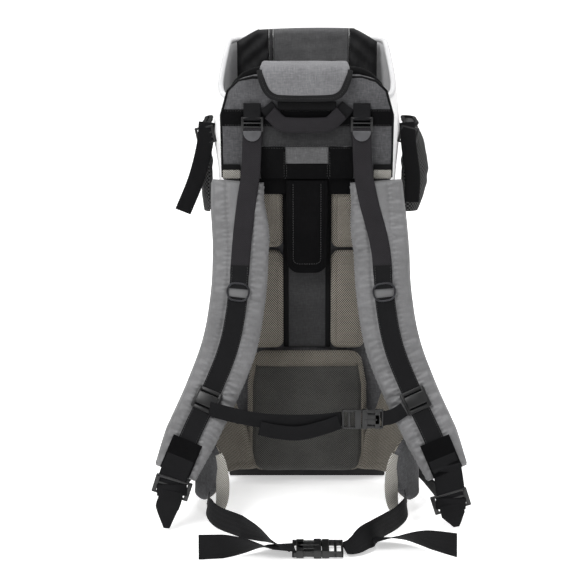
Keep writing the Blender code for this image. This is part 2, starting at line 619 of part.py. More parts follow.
def side_buckle(stem, spans, y, z, half_wide, half_deep, reach, face, group, scrap):
    """A side-release buckle along X: socket with a hollow, and a plug whose tongue sits in it."""
    start, join, end = spans
    sign = 1 if end > start else -1

    def corners(x0, x1, wide, deep):
        low_x, high_x = min(x0, x1), max(x0, x1)
        if face == "z":
            return (low_x, y - wide, z - deep), (high_x, y + wide, z + deep)
        return (low_x, y - deep, z - wide), (high_x, y + deep, z + wide)

    low, high = corners(start, join, half_wide, half_deep)
    socket = block(stem + "_socket", low, high, "acetal", group, 0.002)
    low, high = corners(join + sign * 0.01, join - sign * (reach + 0.001), half_wide - 0.004, half_deep - 0.0022)
    cut(socket, block("well_tool", low, high, "acetal", scrap))
    low, high = corners(join + sign * 0.0006, end, half_wide - 0.001, half_deep - 0.0004)
    plug = block(stem + "_plug", low, high, "acetal", group, 0.002)
    low, high = corners(join - sign * reach, join + sign * 0.008, half_wide - 0.0055, half_deep - 0.0030)
    combine(plug, "UNION", block("tongue_tool", low, high, "acetal", scrap, 0.001))
    shift = Vector((join, y, z))
    plug.data.transform(Matrix.Translation(-shift))
    plug.location = shift


def build_sternum(group, scrap):
    side_buckle("sternum_buckle", (0.1220, 0.0880, 0.0560), -0.2000, 0.1740, 0.0160, 0.0048, 0.020, "y", group, scrap)
    left = smooth([(-0.1430, -0.1985, 0.1880), (-0.110, -0.2005, 0.1780), (-0.060, -0.2015, 0.1700), (0.010, -0.2010, 0.1710),
                   (0.0530, -0.2000, 0.1740)], 13)
    ribbon("sternum_strap_L", left, np.array([0, 0, 1.0]), 0.025, WEB_T, "webbing", group)
    right = smooth([(0.1300, -0.2000, 0.1750), (0.1375, -0.2000, 0.1790), (0.1440, -0.1985, 0.1850)], 5)
    ribbon("sternum_strap_R", right, np.array([0, 0, 1.0]), 0.025, WEB_T, "webbing", group)


def build_sides(group):
    for side, tag, deep in ((-1, "L", 0.018), (1, "R", 0.044)):
        xs = sorted((side * 0.1665, side * (0.1665 + deep)))
        block("side_pocket_" + tag, (xs[0], 0.070, 0.455), (xs[1], 0.165, 0.605), "mesh", group, 0.007)


def main():
    clear_scene()
    parts = collection("child_carrier")
    scrap = collection("cutters")
    build_frame(parts)
    build_kickstand(parts, scrap)
    build_pod(parts, scrap)
    build_storage(parts)
    build_panel(parts, scrap)
    build_straps(parts, scrap)
    build_hip(parts, scrap)
    build_sternum(parts, scrap)
    build_sides(parts)


main()
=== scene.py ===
"""Looks of the framed child carrier: soft goods, webbing, buckles, frame, camera and light. Metres, +Z up."""
import math

import bmesh
import bpy
import numpy as np
from mathutils import Matrix, Vector


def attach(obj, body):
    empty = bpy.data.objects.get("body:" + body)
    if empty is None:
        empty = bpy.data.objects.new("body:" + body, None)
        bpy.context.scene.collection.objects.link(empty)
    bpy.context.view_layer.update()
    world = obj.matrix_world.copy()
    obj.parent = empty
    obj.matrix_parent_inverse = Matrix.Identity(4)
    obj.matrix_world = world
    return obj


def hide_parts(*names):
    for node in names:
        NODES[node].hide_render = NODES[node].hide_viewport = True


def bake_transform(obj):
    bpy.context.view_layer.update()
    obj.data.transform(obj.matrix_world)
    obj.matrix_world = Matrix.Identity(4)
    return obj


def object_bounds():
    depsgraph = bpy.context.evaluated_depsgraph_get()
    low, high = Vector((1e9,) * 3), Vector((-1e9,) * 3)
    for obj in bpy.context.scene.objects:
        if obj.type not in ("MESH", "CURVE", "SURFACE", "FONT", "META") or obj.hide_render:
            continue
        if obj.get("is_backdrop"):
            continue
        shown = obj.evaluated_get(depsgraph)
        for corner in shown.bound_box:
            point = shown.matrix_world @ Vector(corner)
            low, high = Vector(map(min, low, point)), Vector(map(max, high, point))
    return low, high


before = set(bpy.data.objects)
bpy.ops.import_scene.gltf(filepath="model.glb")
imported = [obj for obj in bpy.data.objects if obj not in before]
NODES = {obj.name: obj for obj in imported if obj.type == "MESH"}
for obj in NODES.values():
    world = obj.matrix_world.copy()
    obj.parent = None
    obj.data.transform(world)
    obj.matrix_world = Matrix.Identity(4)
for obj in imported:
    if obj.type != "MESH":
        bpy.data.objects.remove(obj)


def write_size(key, book={}):
    """Keeps the measured box before and after the pieces are made."""
    low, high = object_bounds()
    book[key] = [[float(v) for v in low], [float(v) for v in high]]


write_size("frame")

SIDES = ((-1, "L"), (1, "R"))
WEB_T = 0.0018
PAD_T = 0.018
HARNESS_LEAN = 0.0068  # metres towards +X, over the pads' top LEAN_RUN
LEAN_TOP = 0.533
LEAN_RUN = 0.120
TOP_CUT = 0.0065  # the pads' inner cut at the top, halved
CAMERA_RANGE = 2.6  # metres from the camera to the point it looks at
CAMERA_AIM = 0.334  # height of that point
CAMERA_TILT = math.radians(15)  # downwards
SWEEP_HALF = 16.0  # half the floor's width and its reach in front
LOCKS = {"L": (-0.2150, -0.2400, 0.0730), "R": (0.2300, -0.2340, 0.0470)}  # lower adjusters


# ---------------------------------------------------------------- colour and node helpers
def colour(code):
    """Linear RGBA from an sRGB hex string."""
    parts = [int(code[i:i + 2], 16) / 255 for i in (1, 3, 5)]
    return [p / 12.92 if p <= 0.04045 else ((p + 0.055) / 1.055) ** 2.4 for p in parts] + [1.0]


class Graph:
    """A material's node tree, with short ways to add and join nodes."""

    def __init__(self, name, rough=0.8, metal=0.0, sheen=0.0, coat=0.0, spec=0.5):
        self.mat = bpy.data.materials.new(name)
        self.mat.use_nodes = True
        self.tree = self.mat.node_tree
        self.shader = self.tree.nodes["Principled BSDF"]
        self.shader.inputs["Roughness"].default_value = rough
        self.shader.inputs["Metallic"].default_value = metal
        self.shader.inputs["Sheen Weight"].default_value = sheen
        self.shader.inputs["Sheen Roughness"].default_value = 0.5
        self.shader.inputs["Coat Weight"].default_value = coat
        self.shader.inputs["Specular IOR Level"].default_value = spec

    def add(self, kind, values=(), **props):
        """One node; each value is a number for a socket or another node's output."""
        node = self.tree.nodes.new("ShaderNode" + kind)
        for key, value in props.items():
            setattr(node, key, value)
        for key, value in dict(values).items():
            if isinstance(value, bpy.types.NodeSocket):
                self.tree.links.new(value, node.inputs[key])
            else:
                node.inputs[key].default_value = value
        return node

    def place(self, space="uv", scale=(1, 1, 1), turn=0.0):
        """Texture coordinates in metres, stretched and turned; uv is on the piece, object is world space."""
        if space == "uv":
            source = self.add("UVMap", uv_map="UVMap").outputs["UV"]
        else:
            source = self.add("TexCoord").outputs["Object"]
        mapped = self.add("Mapping", {"Vector": source, "Scale": scale, "Rotation": (0, 0, turn)})
        return mapped.outputs["Vector"]

    def noise(self, vector, scale, detail=3.0, rough=0.55):
        """Fractal noise from 0 to 1."""
        node = self.add("TexNoise", {"Vector": vector, "Scale": scale, "Detail": detail, "Roughness": rough})
        return node.outputs["Fac"]

    def sine(self, vector, period, axis="X"):
        """A soft stripe from 0 to 1 that repeats every period along one axis."""
        wave = self.add("TexWave", {"Vector": vector, "Scale": 0.314159 / period},
                        wave_type="BANDS", bands_direction=axis, wave_profile="SIN")
        return wave.outputs["Fac"]

    def math(self, op, a, b=0.0, clamp=False):
        """One arithmetic node."""
        return self.add("Math", {0: a, 1: b}, operation=op, use_clamp=clamp).outputs[0]

    def ramp(self, fac, stops):
        """A colour from stops of (place, hex)."""
        node = self.add("ValToRGB", {"Fac": fac})
        elements = node.color_ramp.elements
        while len(elements) < len(stops):
            elements.new(0.5)
        for element, (place, code) in zip(elements, stops):
            element.position = place
            element.color = colour(code)
        return node.outputs["Color"]

    def mix(self, fac, a, b, blend="MIX"):
        """Two colours blended by fac."""
        node = self.add("Mix", {0: fac}, data_type="RGBA", blend_type=blend)
        for slot, value in ((6, a), (7, b)):
            if isinstance(value, bpy.types.NodeSocket):
                self.tree.links.new(value, node.inputs[slot])
            else:
                node.inputs[slot].default_value = value
        return node.outputs[2]

    def span(self, fac, low, high, to_low=0.0, to_high=1.0):
        """A range of fac stretched to another range."""
        node = self.add("MapRange", {"Value": fac, "From Min": low, "From Max": high, "To Min": to_low,
                                     "To Max": to_high})
        return node.outputs["Result"]

    def finish(self, base=None, height=None, strength=0.3, distance=0.001, rough=None):
        """Colour, roughness and bump joined to the shader; returns the material."""
        if base is not None:
            self.tree.links.new(base, self.shader.inputs["Base Color"])
        if rough is not None:
            self.tree.links.new(rough, self.shader.inputs["Roughness"])
        if height is not None:
            bump = self.add("Bump", {"Height": height, "Strength": strength, "Distance": distance})
            self.tree.links.new(bump.outputs["Normal"], self.shader.inputs["Normal"])
        return self.mat


def pack_cloth(name, dark, mid, light, weave=0.0020, melange=1.0, rough=0.88, sheen=0.05,
               strength=0.45, spec=0.16):
    """Plain-weave polyester pack cloth: crossed threads, heather fibres and broad tone changes."""
    g = Graph(name, rough=rough, sheen=sheen, spec=spec)
    uv = g.place("uv")
    warp = g.sine(uv, weave, "X")
    weft = g.sine(uv, weave, "Y")
    cross = g.math("MULTIPLY", warp, weft)
    fibre_a = g.noise(g.place("uv", (500, 90, 1)), 1.0, 4.0, 0.7)
    fibre_b = g.noise(g.place("uv", (90, 420, 1)), 1.0, 4.0, 0.7)
    fibre = g.math("ADD", g.math("MULTIPLY", fibre_a, 0.5), g.math("MULTIPLY", fibre_b, 0.5))
    broad = g.noise(g.place("object", (1, 1, 1)), 14.0, 3.0)
    tone = g.math("ADD", g.math("MULTIPLY", g.math("SUBTRACT", fibre, 0.5), 1.5 * melange), 0.5)
    tone = g.math("ADD", tone, g.math("MULTIPLY", g.math("SUBTRACT", broad, 0.5), 0.55))
    tone = g.math("ADD", tone, g.math("MULTIPLY", g.math("SUBTRACT", cross, 0.25), 0.22))
    base = g.ramp(tone, [(0.12, dark), (0.5, mid), (0.88, light)])
    height = g.math("ADD", cross, g.math("MULTIPLY", fibre, 0.35))
    return g.finish(base, height, strength, 0.0005)


def spacer_mesh(name, hole, thread, light, cell=0.0034, strength=0.8, sheen=0.04, spec=0.18):
    """Knitted spacer mesh: rows of small eyelets, staggered, in a raised net of yarn."""
    g = Graph(name, rough=0.82, sheen=sheen, spec=spec)
    uv = g.place("uv", (1.0 / cell, 1.0 / (cell * 1.25), 1))
    first = g.add("TexVoronoi", {"Vector": uv, "Scale": 1.0, "Randomness": 0.0}, voronoi_dimensions="2D")
    moved = g.add("VectorMath", {0: uv, 1: (0.5, 0.5, 0.0)}, operation="ADD").outputs[0]
    second = g.add("TexVoronoi", {"Vector": moved, "Scale": 1.0, "Randomness": 0.0}, voronoi_dimensions="2D")
    near = g.math("MINIMUM", first.outputs["Distance"], second.outputs["Distance"])
    net = g.span(near, 0.20, 0.38)
    yarn = g.noise(g.place("uv", (700, 260, 1)), 1.0, 3.0, 0.7)
    broad = g.noise(g.place("object"), 22.0, 3.0)
    tone = g.math("ADD", g.math("MULTIPLY", yarn, 0.6), g.math("MULTIPLY", broad, 0.4))
    yarns = g.ramp(tone, [(0.3, thread), (0.7, light)])
    base = g.mix(net, colour(hole), yarns)
    height = g.math("ADD", net, g.math("MULTIPLY", yarn, 0.25))
    return g.finish(base, height, strength, 0.0009)


def webbing(name, dark, light, rib=0.0024, rough=0.66, sheen=0.0, spec=0.12):
    """Woven polyester webbing: chevron ribs across the band, denser at its two edges."""
    g = Graph(name, rough=rough, sheen=sheen, spec=spec)
    split = g.add("SeparateXYZ", {0: g.place("uv")})
    fold = g.math("PINGPONG", split.outputs["X"], 0.004)
    slant = g.math("ADD", split.outputs["Y"], fold)
    joined = g.add("CombineXYZ", {0: slant, 1: split.outputs["X"], 2: 0.0}).outputs[0]
    ribs = g.sine(joined, rib, "X")
    rows = g.sine(joined, 0.0011, "Y")
    weave = g.math("ADD", g.math("MULTIPLY", ribs, 0.7), g.math("MULTIPLY", rows, 0.3))
    fibre = g.noise(g.place("uv", (800, 220, 1)), 1.0, 3.0, 0.7)
    broad = g.noise(g.place("object"), 30.0, 2.0)
    tone = g.math("ADD", g.math("MULTIPLY", weave, 0.45), g.math("MULTIPLY", fibre, 0.3))
    tone = g.math("ADD", tone, g.math("MULTIPLY", broad, 0.25))
    base = g.ramp(tone, [(0.25, dark), (0.8, light)])
    return g.finish(base, weave, 0.5, 0.0006)


def moulded(name, dark, light, rough=0.36, coat=0.0, grain=900.0, strength=0.12):
    """Injection-moulded plastic or rubber: fine spark-eroded grain, slight polish and rubbed patches."""
    g = Graph(name, rough=rough, coat=coat, spec=0.5)
    space = g.place("object")
    fine = g.noise(space, grain, 2.0)
    broad = g.noise(space, 60.0, 4.0)
    base = g.ramp(broad, [(0.3, dark), (0.75, light)])
    return g.finish(base, fine, strength, 0.0003, g.span(broad, 0.25, 0.75, rough - 0.07, rough + 0.1))


def metal(name, dark, light, rough, drawn=(40, 40, 900)):
    """Drawn tube or wire: fine lines along it and faint handling marks."""
    g = Graph(name, rough=rough, metal=1.0)
    lines = g.noise(g.place("object", drawn), 1.0, 3.0)
    marks = g.noise(g.place("object"), 45.0, 5.0, 0.65)
    base = g.ramp(g.math("ADD", g.math("MULTIPLY", lines, 0.4), g.math("MULTIPLY", marks, 0.6)),
                  [(0.3, dark), (0.7, light)])
    return g.finish(base, lines, 0.06, 0.0002, g.span(marks, 0.3, 0.7, rough - 0.06, rough + 0.1))


def thread(name, code):
    """Twisted sewing thread: one tone, darker in the twists."""
    g = Graph(name, rough=0.7, sheen=0.2)
    twist = g.noise(g.place("object"), 1500.0, 2.0)
    return g.finish(g.mix(g.span(twist, 0.3, 0.7), colour(code),
                          [c * 0.7 for c in colour(code)[:3]] + [1.0]), twist, 0.2, 0.0002)


# polyester 600D pack cloth, heather grey, on the panel, wings and bag
HEATHER = pack_cloth("pack_cloth_heather", "#313132", "#4a4a4c", "#676769")
# the same cloth under the haul loop, darker: partly a darker grey, partly the loop's cast shadow painted into
# its colour
HEATHER_DARK_WITH_SHADOW = pack_cloth("pack_cloth_heather_painted_shadow", "#1b1b1c", "#2b2b2c", "#3e3e3f")
# a lighter run of the same cloth, on the chin pad
HEATHER_LIGHT = pack_cloth("pack_cloth_light_heather", "#515153", "#6c6c6e", "#868688")
# the small centre patch under the handle
PATCH_GREY = pack_cloth("pack_cloth_patch", "#3e3e3f", "#545455", "#6a6a6b")
# satin-faced shoulder cloth, whose folds catch the light
STRAP_CLOTH = pack_cloth("shoulder_satin", "#525253", "#656566", "#7a7a7c", 0.0018, 0.45, 0.46, 0.06, 0.30,
                         0.5)
# coated side cloth of the seat pod
PALE = pack_cloth("pod_side_cloth", "#dcdcdc", "#f0f0f0", "#fafafa", 0.0018, 0.35, 0.7, 0.05)
# grey lining cloth along the inside of the pod walls
EDGE_GREY = pack_cloth("pod_lining_grey", "#b0b0b1", "#cacacb", "#dededf", 0.0020, 0.6)
# mid grey pack cloth, the centre panel of the headrest
HEADREST_GREY = pack_cloth("headrest_grey", "#3c3c3d", "#505051", "#666667", 0.0020, 0.7)
# matt black nylon, nearly without sheen
BLACK_CLOTH = pack_cloth("black_nylon", "#040405", "#080809", "#121213", 0.0018, 0.6, 0.75, 0.0, 0.4, 0.05)
# gathered black nylon at both sides of the headrest
SIDE_BLACK = pack_cloth("headrest_black_nylon", "#0d0d0e", "#1b1b1c", "#2a2a2b", 0.0018, 0.6, 0.62, 0.0,
                        0.4, 0.16)
# charcoal pack cloth: back channel, dark part of the pod, seat cushion, headrest strip
CHARCOAL_CLOTH = pack_cloth("charcoal_cloth", "#242425", "#363637", "#484849", 0.0020, 0.7, 0.8, 0.0, 0.45,
                            0.12)
# beige polyester spacer mesh, the four back pads and the shoulder pads' inner face
BEIGE_MESH = spacer_mesh("beige_spacer_mesh", "#2e2b26", "#8a847c", "#b0aa9e")
# brown spacer mesh: the hip wings' inner face and the lumbar pad's sides
SIDE_MESH = spacer_mesh("brown_spacer_mesh", "#23211d", "#7d776d", "#a59f94", 0.0030)
# pale, open spacer mesh: the wing tips' strips and the cover's small pockets
BRIGHT_MESH = spacer_mesh("bright_spacer_mesh", "#5e5b54", "#bab7b0", "#d8d6d0", 0.0028)
# dark spacer mesh on the lumbar pad
LUMBAR_MESH = spacer_mesh("lumbar_spacer_mesh", "#101010", "#4c4c4a", "#6c6b67", 0.0030)
# knotted pocket net: black cord, with the pale pod showing through its eyes
NET = spacer_mesh("pocket_net", "#5a5a5a", "#060607", "#101011", 0.0052, 1.0, 0.0, 0.08)
# black polypropylene webbing, woven with cross ribs
WEBBING = webbing("webbing_black", "#060607", "#161618")
# charcoal webbing, slightly coarser: the haul loop and the load lifters
CHARCOAL_WEB = webbing("webbing_charcoal", "#161517", "#2b292c", 0.0028)
# folded grosgrain tape that binds cut edges
BINDING = webbing("edge_binding", "#0c0c0d", "#222223", 0.0018, 0.75)
# knitted elastic in seams and at the pocket mouths
ELASTIC = webbing("elastic_binding", "#050506", "#101011", 0.0015, 0.75)
# glossy black acetal, buckles and ladder-locks
ACETAL = moulded("acetal_black", "#050506", "#0c0c0d", 0.34)
# smoke-grey acetal: the lifters' thumb tabs and the push buttons
ACETAL_GREY = moulded("acetal_smoke", "#3c3c3e", "#515154", 0.4)
# moulded rubber: the stand's feet, the base bar and the zip's pull
RUBBER = moulded("moulded_rubber", "#0c0c0d", "#171718", 0.68, 0.0, 500.0, 0.25)
# drawn and anodised aluminium tube
ALLOY = metal("anodised_alloy", "#6c6e72", "#94979c", 0.34)
# zinc-plated steel: hinge pins and the zip slider
STEEL = metal("plated_steel", "#8b8c8f", "#c9cacc", 0.25)
# blackened steel wire, the D-rings
DARK_STEEL = metal("blackened_steel", "#2c2c2e", "#4a4a4d", 0.32)
# dark polyester sewing thread
THREAD_DARK = thread("thread_dark", "#161617")
# grey polyester sewing thread
THREAD_GREY = thread("thread_grey", "#3a3a3b")
# dark lining cloth on the seat's base
FOAM_LINE = pack_cloth("inner_lining", "#2c2c2d", "#3c3c3d", "#4d4d4e", 0.0020, 0.6)


# ---------------------------------------------------------------- mesh helpers
def make(name, verts, faces, mat, uv=None, smooth=True):
    """One mesh object from arrays; uv is per vertex, in metres."""
    mesh = bpy.data.meshes.new(name)
    mesh.from_pydata([tuple(v) for v in np.asarray(verts, float)], [],
                     [tuple(int(i) for i in f) for f in faces])
    mesh.materials.append(mat)
    if uv is not None:
        layer = mesh.uv_layers.new(name="UVMap")
        index = np.empty(len(mesh.loops), np.int32)
        mesh.loops.foreach_get("vertex_index", index)
        layer.data.foreach_set("uv", np.asarray(uv, np.float32)[index].ravel())
    mesh.polygons.foreach_set("use_smooth", [smooth] * len(mesh.polygons))
    mesh.update()
    obj = bpy.data.objects.new(name, mesh)
    bpy.context.scene.collection.objects.link(obj)
    return obj


def outward(obj):
    """Turns every face of a closed mesh to the outside."""
    bm = bmesh.new()
    bm.from_mesh(obj.data)
    bmesh.ops.recalc_face_normals(bm, faces=bm.faces[:])
    bm.to_mesh(obj.data)
    bm.free()
    return obj


def shell(name, points, mat, uv, closed=True, caps=True):
    """A surface through a grid of points; rows are closed rings when closed is true, and ends are capped."""
    rows, cols = points.shape[:2]
    faces = []
    last = cols if closed else cols - 1
    for i in range(rows - 1):
        for j in range(last):
            k = (j + 1) % cols
            faces.append((i * cols + j, i * cols + k, (i + 1) * cols + k, (i + 1) * cols + j))
    if caps and closed:
        faces.append(tuple(range(cols))[::-1])
        faces.append(tuple((rows - 1) * cols + j for j in range(cols)))
    obj = make(name, points.reshape(-1, 3), faces, mat, uv.reshape(-1, 2))
    return outward(obj) if closed else obj


def smooth_path(points, count):
    """Catmull-Rom curve through the points, read at even steps of length."""
    pts = np.array(points, float)
    ext = np.vstack([2 * pts[0] - pts[1], pts, 2 * pts[-1] - pts[-2]])
    fine = []
    for i in range(1, len(ext) - 2):
        a, b, c, d = ext[i - 1:i + 3]
        for t in np.linspace(0, 1, 24, endpoint=False):
            fine.append(0.5 * (2 * b + (c - a) * t + (2 * a - 5 * b + 4 * c - d) * t ** 2
                               + (3 * b - a - 3 * c + d) * t ** 3))
    fine = np.array(fine + [pts[-1]])
    run = run_length(fine)
    want = np.linspace(0, run[-1], count)
    return np.stack([np.interp(want, run, fine[:, k]) for k in range(fine.shape[1])], axis=1)


def run_length(path):
    """Length along a path at each of its points."""
    return np.concatenate([[0], np.cumsum(np.linalg.norm(np.diff(path[:, :3], axis=0), axis=1))])


def unit(v):
    """Vectors divided by their lengths."""
    return v / np.maximum(np.linalg.norm(v, axis=-1, keepdims=True), 1e-9)


def tangents(path):
    """Unit vectors along a path, by central differences."""
    return unit(np.gradient(path, axis=0))


def ripple(x, y, scale, seed):
    """Smooth seeded unevenness from -1 to 1: eight crossing sine waves of about the given size in metres."""
    rng = np.random.default_rng(seed)
    total = np.zeros(np.broadcast(x, y).shape)
    for _ in range(8):
        angle, phase, stretch = rng.uniform(0, math.tau), rng.uniform(0, math.tau), rng.uniform(0.6, 1.7)
        total = total + np.sin((x * math.cos(angle) + y * math.sin(angle)) * math.tau / (scale * stretch)
                               + phase)
    return total / 4.5


def gauss(x, centre, width):
    """A bump exp(-((x - centre) / width)^2), 1 at its centre."""
    return np.exp(-((x - centre) / width) ** 2)


def edge_round(distance, radius):
    """Quarter-circle rise from 0 at an edge to 1 at the given distance inside it."""
    share = np.clip(distance / radius, 0, 1)
    return np.sqrt(np.maximum(0, 1 - (1 - share) ** 2))


def pillow(name, zs, left, right, front, back, mat, round_off=0.010, cols=44, seams=None, bulge=0.0,
           end_round=None):
    """A padded panel facing -Y: left and right edges per height, front and back, rounded at every border.

    front and back are depths or functions of (x, z); seams is a function of (x, z) giving a depth pressed in.
    """
    end_round = round_off if end_round is None else end_round
    s = -np.cos(np.pi * np.arange(cols + 1) / cols)
    z0, z1 = zs[0], zs[-1]
    rows = []
    coords = []
    for z, lo, hi in zip(zs, left, right):
        x = (lo + hi) / 2 + (hi - lo) / 2 * s
        inside = np.minimum(x - lo, hi - x)
        rise = edge_round(inside, round_off) * edge_round(np.full_like(x, min(z - z0, z1 - z)), end_round)
        f = front(x, z) if callable(front) else np.full_like(x, front)
        b = back(x, z) if callable(back) else np.full_like(x, back)
        tau = (2 * z - z0 - z1) / (z1 - z0)
        f = f - bulge * (1 - s ** 2) * (1 - tau ** 2)
        if seams is not None:
            f = f + seams(x, z)
        mid = (f + b) / 2
        y_front = mid + (f - mid) * rise
        y_back = mid + (b - mid) * rise
        ring = np.concatenate([np.stack([x, y_front, np.full_like(x, z)], 1),
                               np.stack([x[1:-1][::-1], y_back[1:-1][::-1], np.full(cols - 1, z)], 1)])
        rows.append(ring)
        coords.append(np.stack([ring[:, 0], ring[:, 2]], 1))
    return shell(name, np.array(rows), mat, np.array(coords))


def heights(z0, z1, count):
    """Heights that gather at both ends, so that rounded borders are smooth."""
    t = 0.5 - 0.5 * np.cos(np.pi * np.linspace(0, 1, count))
    return z0 + (z1 - z0) * (0.55 * t + 0.45 * np.linspace(0, 1, count))


def corner_inset(zs, radius_low, radius_high):
    """How far each height's side edge is drawn in by rounded corners."""
    z0, z1 = zs[0], zs[-1]
    low = np.clip(1 - (zs - z0) / max(radius_low, 1e-6), 0, 1)
    high = np.clip(1 - (z1 - zs) / max(radius_high, 1e-6), 0, 1)
    return radius_low * (1 - np.sqrt(1 - low ** 2)) + radius_high * (1 - np.sqrt(1 - high ** 2))


def band(name, path, across, width, mat, thick=WEB_T, cols=10, crown=0.0, sag=None):
    """A flat webbing band swept along a path: slightly crowned face, rounded selvedges, closed ends."""
    path = np.array(path, float)
    along = tangents(path)
    across = np.broadcast_to(np.array(across, float), path.shape)
    across = unit(across - along * np.sum(across * along, 1, keepdims=True))
    normal = np.cross(across, along)
    half = np.broadcast_to(np.array(width, float), (len(path),)) / 2
    run = run_length(path)
    s = -np.cos(np.pi * np.arange(cols + 1) / cols)
    full = thick / 2 * (1 - np.abs(s) ** 8) ** 0.5
    ring_s = np.concatenate([s, s[1:-1][::-1]])
    ring_t = np.concatenate([full, -full[1:-1]])
    arch = crown * (1 - ring_s ** 2)
    rows = []
    coords = []
    for p, w, n, h, r in zip(path, across, normal, half, run):
        extra = sag(ring_s, r) if sag is not None else 0.0
        rows.append(p + np.outer(ring_s * h, w) + np.outer(ring_t + arch + extra, n))
        coords.append(np.stack([ring_s * h, np.full_like(ring_s, r)], 1))
    return shell(name, np.array(rows), mat, np.array(coords))


def cable(name, path, radius, mat, sides=10, closed=False):
    """A round piping, wire or tube along a path."""
    path = np.array(path, float)
    if closed:
        along = unit(np.roll(path, -1, 0) - np.roll(path, 1, 0))
    else:
        along = tangents(path)
    up = np.array([0.0, 0.0, 1.0]) if abs(along[0][2]) < 0.9 else np.array([0.0, 1.0, 0.0])
    first = unit(up - along[0] * np.dot(up, along[0]))
    normals = [first]
    for k in range(1, len(path)):
        n = normals[-1] - along[k] * np.dot(normals[-1], along[k])
        normals.append(unit(n))
    normals = np.array(normals)
    side = np.cross(along, normals)
    radius = np.broadcast_to(np.array(radius, float), (len(path),))
    angles = np.arange(sides) * math.tau / sides
    rows = np.array([p + r * (np.outer(np.cos(angles), n) + np.outer(np.sin(angles), b))
                     for p, r, n, b in zip(path, radius, normals, side)])
    run = run_length(path)
    coords = np.array([np.stack([angles * 0.004, np.full(sides, r)], 1) for r in run])
    if closed:
        rows = np.concatenate([rows, rows[:1]])
        cols = sides
        count = len(path)
        faces = []
        for i in range(count):
            for j in range(cols):
                k = (j + 1) % cols
                m = (i + 1) % count
                faces.append((i * cols + j, i * cols + k, m * cols + k, m * cols + j))
        return outward(make(name, rows[:-1].reshape(-1, 3), faces, mat, coords.reshape(-1, 2)))
    return shell(name, rows, mat, coords)


def stitches(name, lines, mat, normal=(0, -1, 0), pitch=0.0042, length=0.0028, radius=0.00042):
    """Runs of small sewn stitches along lines: each one a short six-sided bead of thread."""
    verts = []
    faces = []
    n = unit(np.array(normal, float))
    for line in lines:
        line = np.array(line, float)
        run = run_length(line)
        for at in np.arange(pitch / 2, run[-1], pitch):
            a = np.array([np.interp(at - length / 2, run, line[:, k]) for k in range(3)])
            b = np.array([np.interp(at + length / 2, run, line[:, k]) for k in range(3)])
            if np.linalg.norm(b - a) < 1e-6:
                continue
            t = unit(b - a)
            side = unit(np.cross(t, n))
            base = len(verts)
            for p, swell in ((a, 0.45), ((a + b) / 2 + n * radius * 0.6, 1.0), (b, 0.45)):
                for q in range(6):
                    ang = q * math.tau / 6
                    verts.append(p + (side * math.cos(ang) + n * math.sin(ang)) * radius * swell)
            for r in range(2):
                for q in range(6):
                    m = (q + 1) % 6
                    faces.append((base + r * 6 + q, base + r * 6 + m, base + (r + 1) * 6 + m,
                                  base + (r + 1) * 6 + q))
            faces.append(tuple(base + q for q in range(6))[::-1])
            faces.append(tuple(base + 12 + q for q in range(6)))
    return outward(make(name, verts, faces, mat, np.array(verts)[:, [0, 2]]))


def rounded_bar(name, low, high, mat, radius, place=None, segments=3):
    """A moulded bar: a box with rounded edges, in a local frame when one is given."""
    bm = bmesh.new()
    bmesh.ops.create_cube(bm, size=1.0)
    centre = (np.array(low) + np.array(high)) / 2
    size = np.array(high) - np.array(low)
    for vert in bm.verts:
        vert.co = Vector(centre + size * np.array(vert.co))
    bmesh.ops.bevel(bm, geom=bm.edges[:], offset=radius, segments=segments, profile=0.5, affect="EDGES")
    if place is not None:
        bmesh.ops.transform(bm, matrix=place, verts=bm.verts[:])
    mesh = bpy.data.meshes.new(name)
    bm.to_mesh(mesh)
    bm.free()
    mesh.materials.append(mat)
    mesh.polygons.foreach_set("use_smooth", [True] * len(mesh.polygons))
    layer = mesh.uv_layers.new(name="UVMap")
    layer.data.foreach_set("uv", np.zeros(len(mesh.loops) * 2, np.float32))
    obj = bpy.data.objects.new(name, mesh)
    bpy.context.scene.collection.objects.link(obj)
    return obj


def join(name, objects):
    """Several meshes made into one piece, keeping their materials."""
    mats = []
    bm = bmesh.new()
    for obj in objects:
        start = len(bm.faces)
        bm.from_mesh(obj.data)
        bm.faces.ensure_lookup_table()
        source = list(obj.data.materials)
        remap = []
        for mat in source:
            if mat not in mats:
                mats.append(mat)
            remap.append(mats.index(mat))
        for face in bm.faces[start:]:
            face.material_index = remap[face.material_index] if face.material_index < len(remap) else 0
    mesh = bpy.data.meshes.new(name)
    bm.to_mesh(mesh)
    bm.free()
    for mat in mats:
        mesh.materials.append(mat)
    for obj in objects:
        bpy.data.objects.remove(obj, do_unlink=True)
    piece = bpy.data.objects.new(name, mesh)
    bpy.context.scene.collection.objects.link(piece)
    return piece


def put(obj, body="carrier", nodes=()):
    """Rides a body and stands for CAD nodes; a body of None leaves the piece without one."""
    if body is not None:
        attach(obj, body)
    if nodes:
        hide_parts(*nodes)
    return obj


def repaint(node, mat):
    """Gives a carried-over CAD node its one material."""
    obj = NODES[node]
    obj.data.materials.clear()
    obj.data.materials.append(mat)
    return obj


# ---------------------------------------------------------------- shoulder pad line
PAD_ROUTE = np.array([
    (0.1060, -0.0560, 0.5330, 0.0490), (0.1100, -0.0760, 0.4800, 0.0480), (0.1140, -0.0930, 0.4300, 0.0445),
    (0.1180, -0.1140, 0.3600, 0.0440), (0.1320, -0.1340, 0.2800, 0.0440), (0.1600, -0.1600, 0.2090, 0.0425),
    (0.1950, -0.1980, 0.1400, 0.0410), (0.2180, -0.2220, 0.0900, 0.0340)])


def leaned(points):
    """Points moved towards +X by the harness lean: lean = HARNESS_LEAN * (3 s^2 - 2 s^3), s from 0 to 1."""
    points = np.array(points, float)
    share = np.clip((LEAN_TOP - points[..., 2]) / LEAN_RUN, 0, 1)
    points[..., 0] += HARNESS_LEAN * (3 * share ** 2 - 2 * share ** 3)
    return points


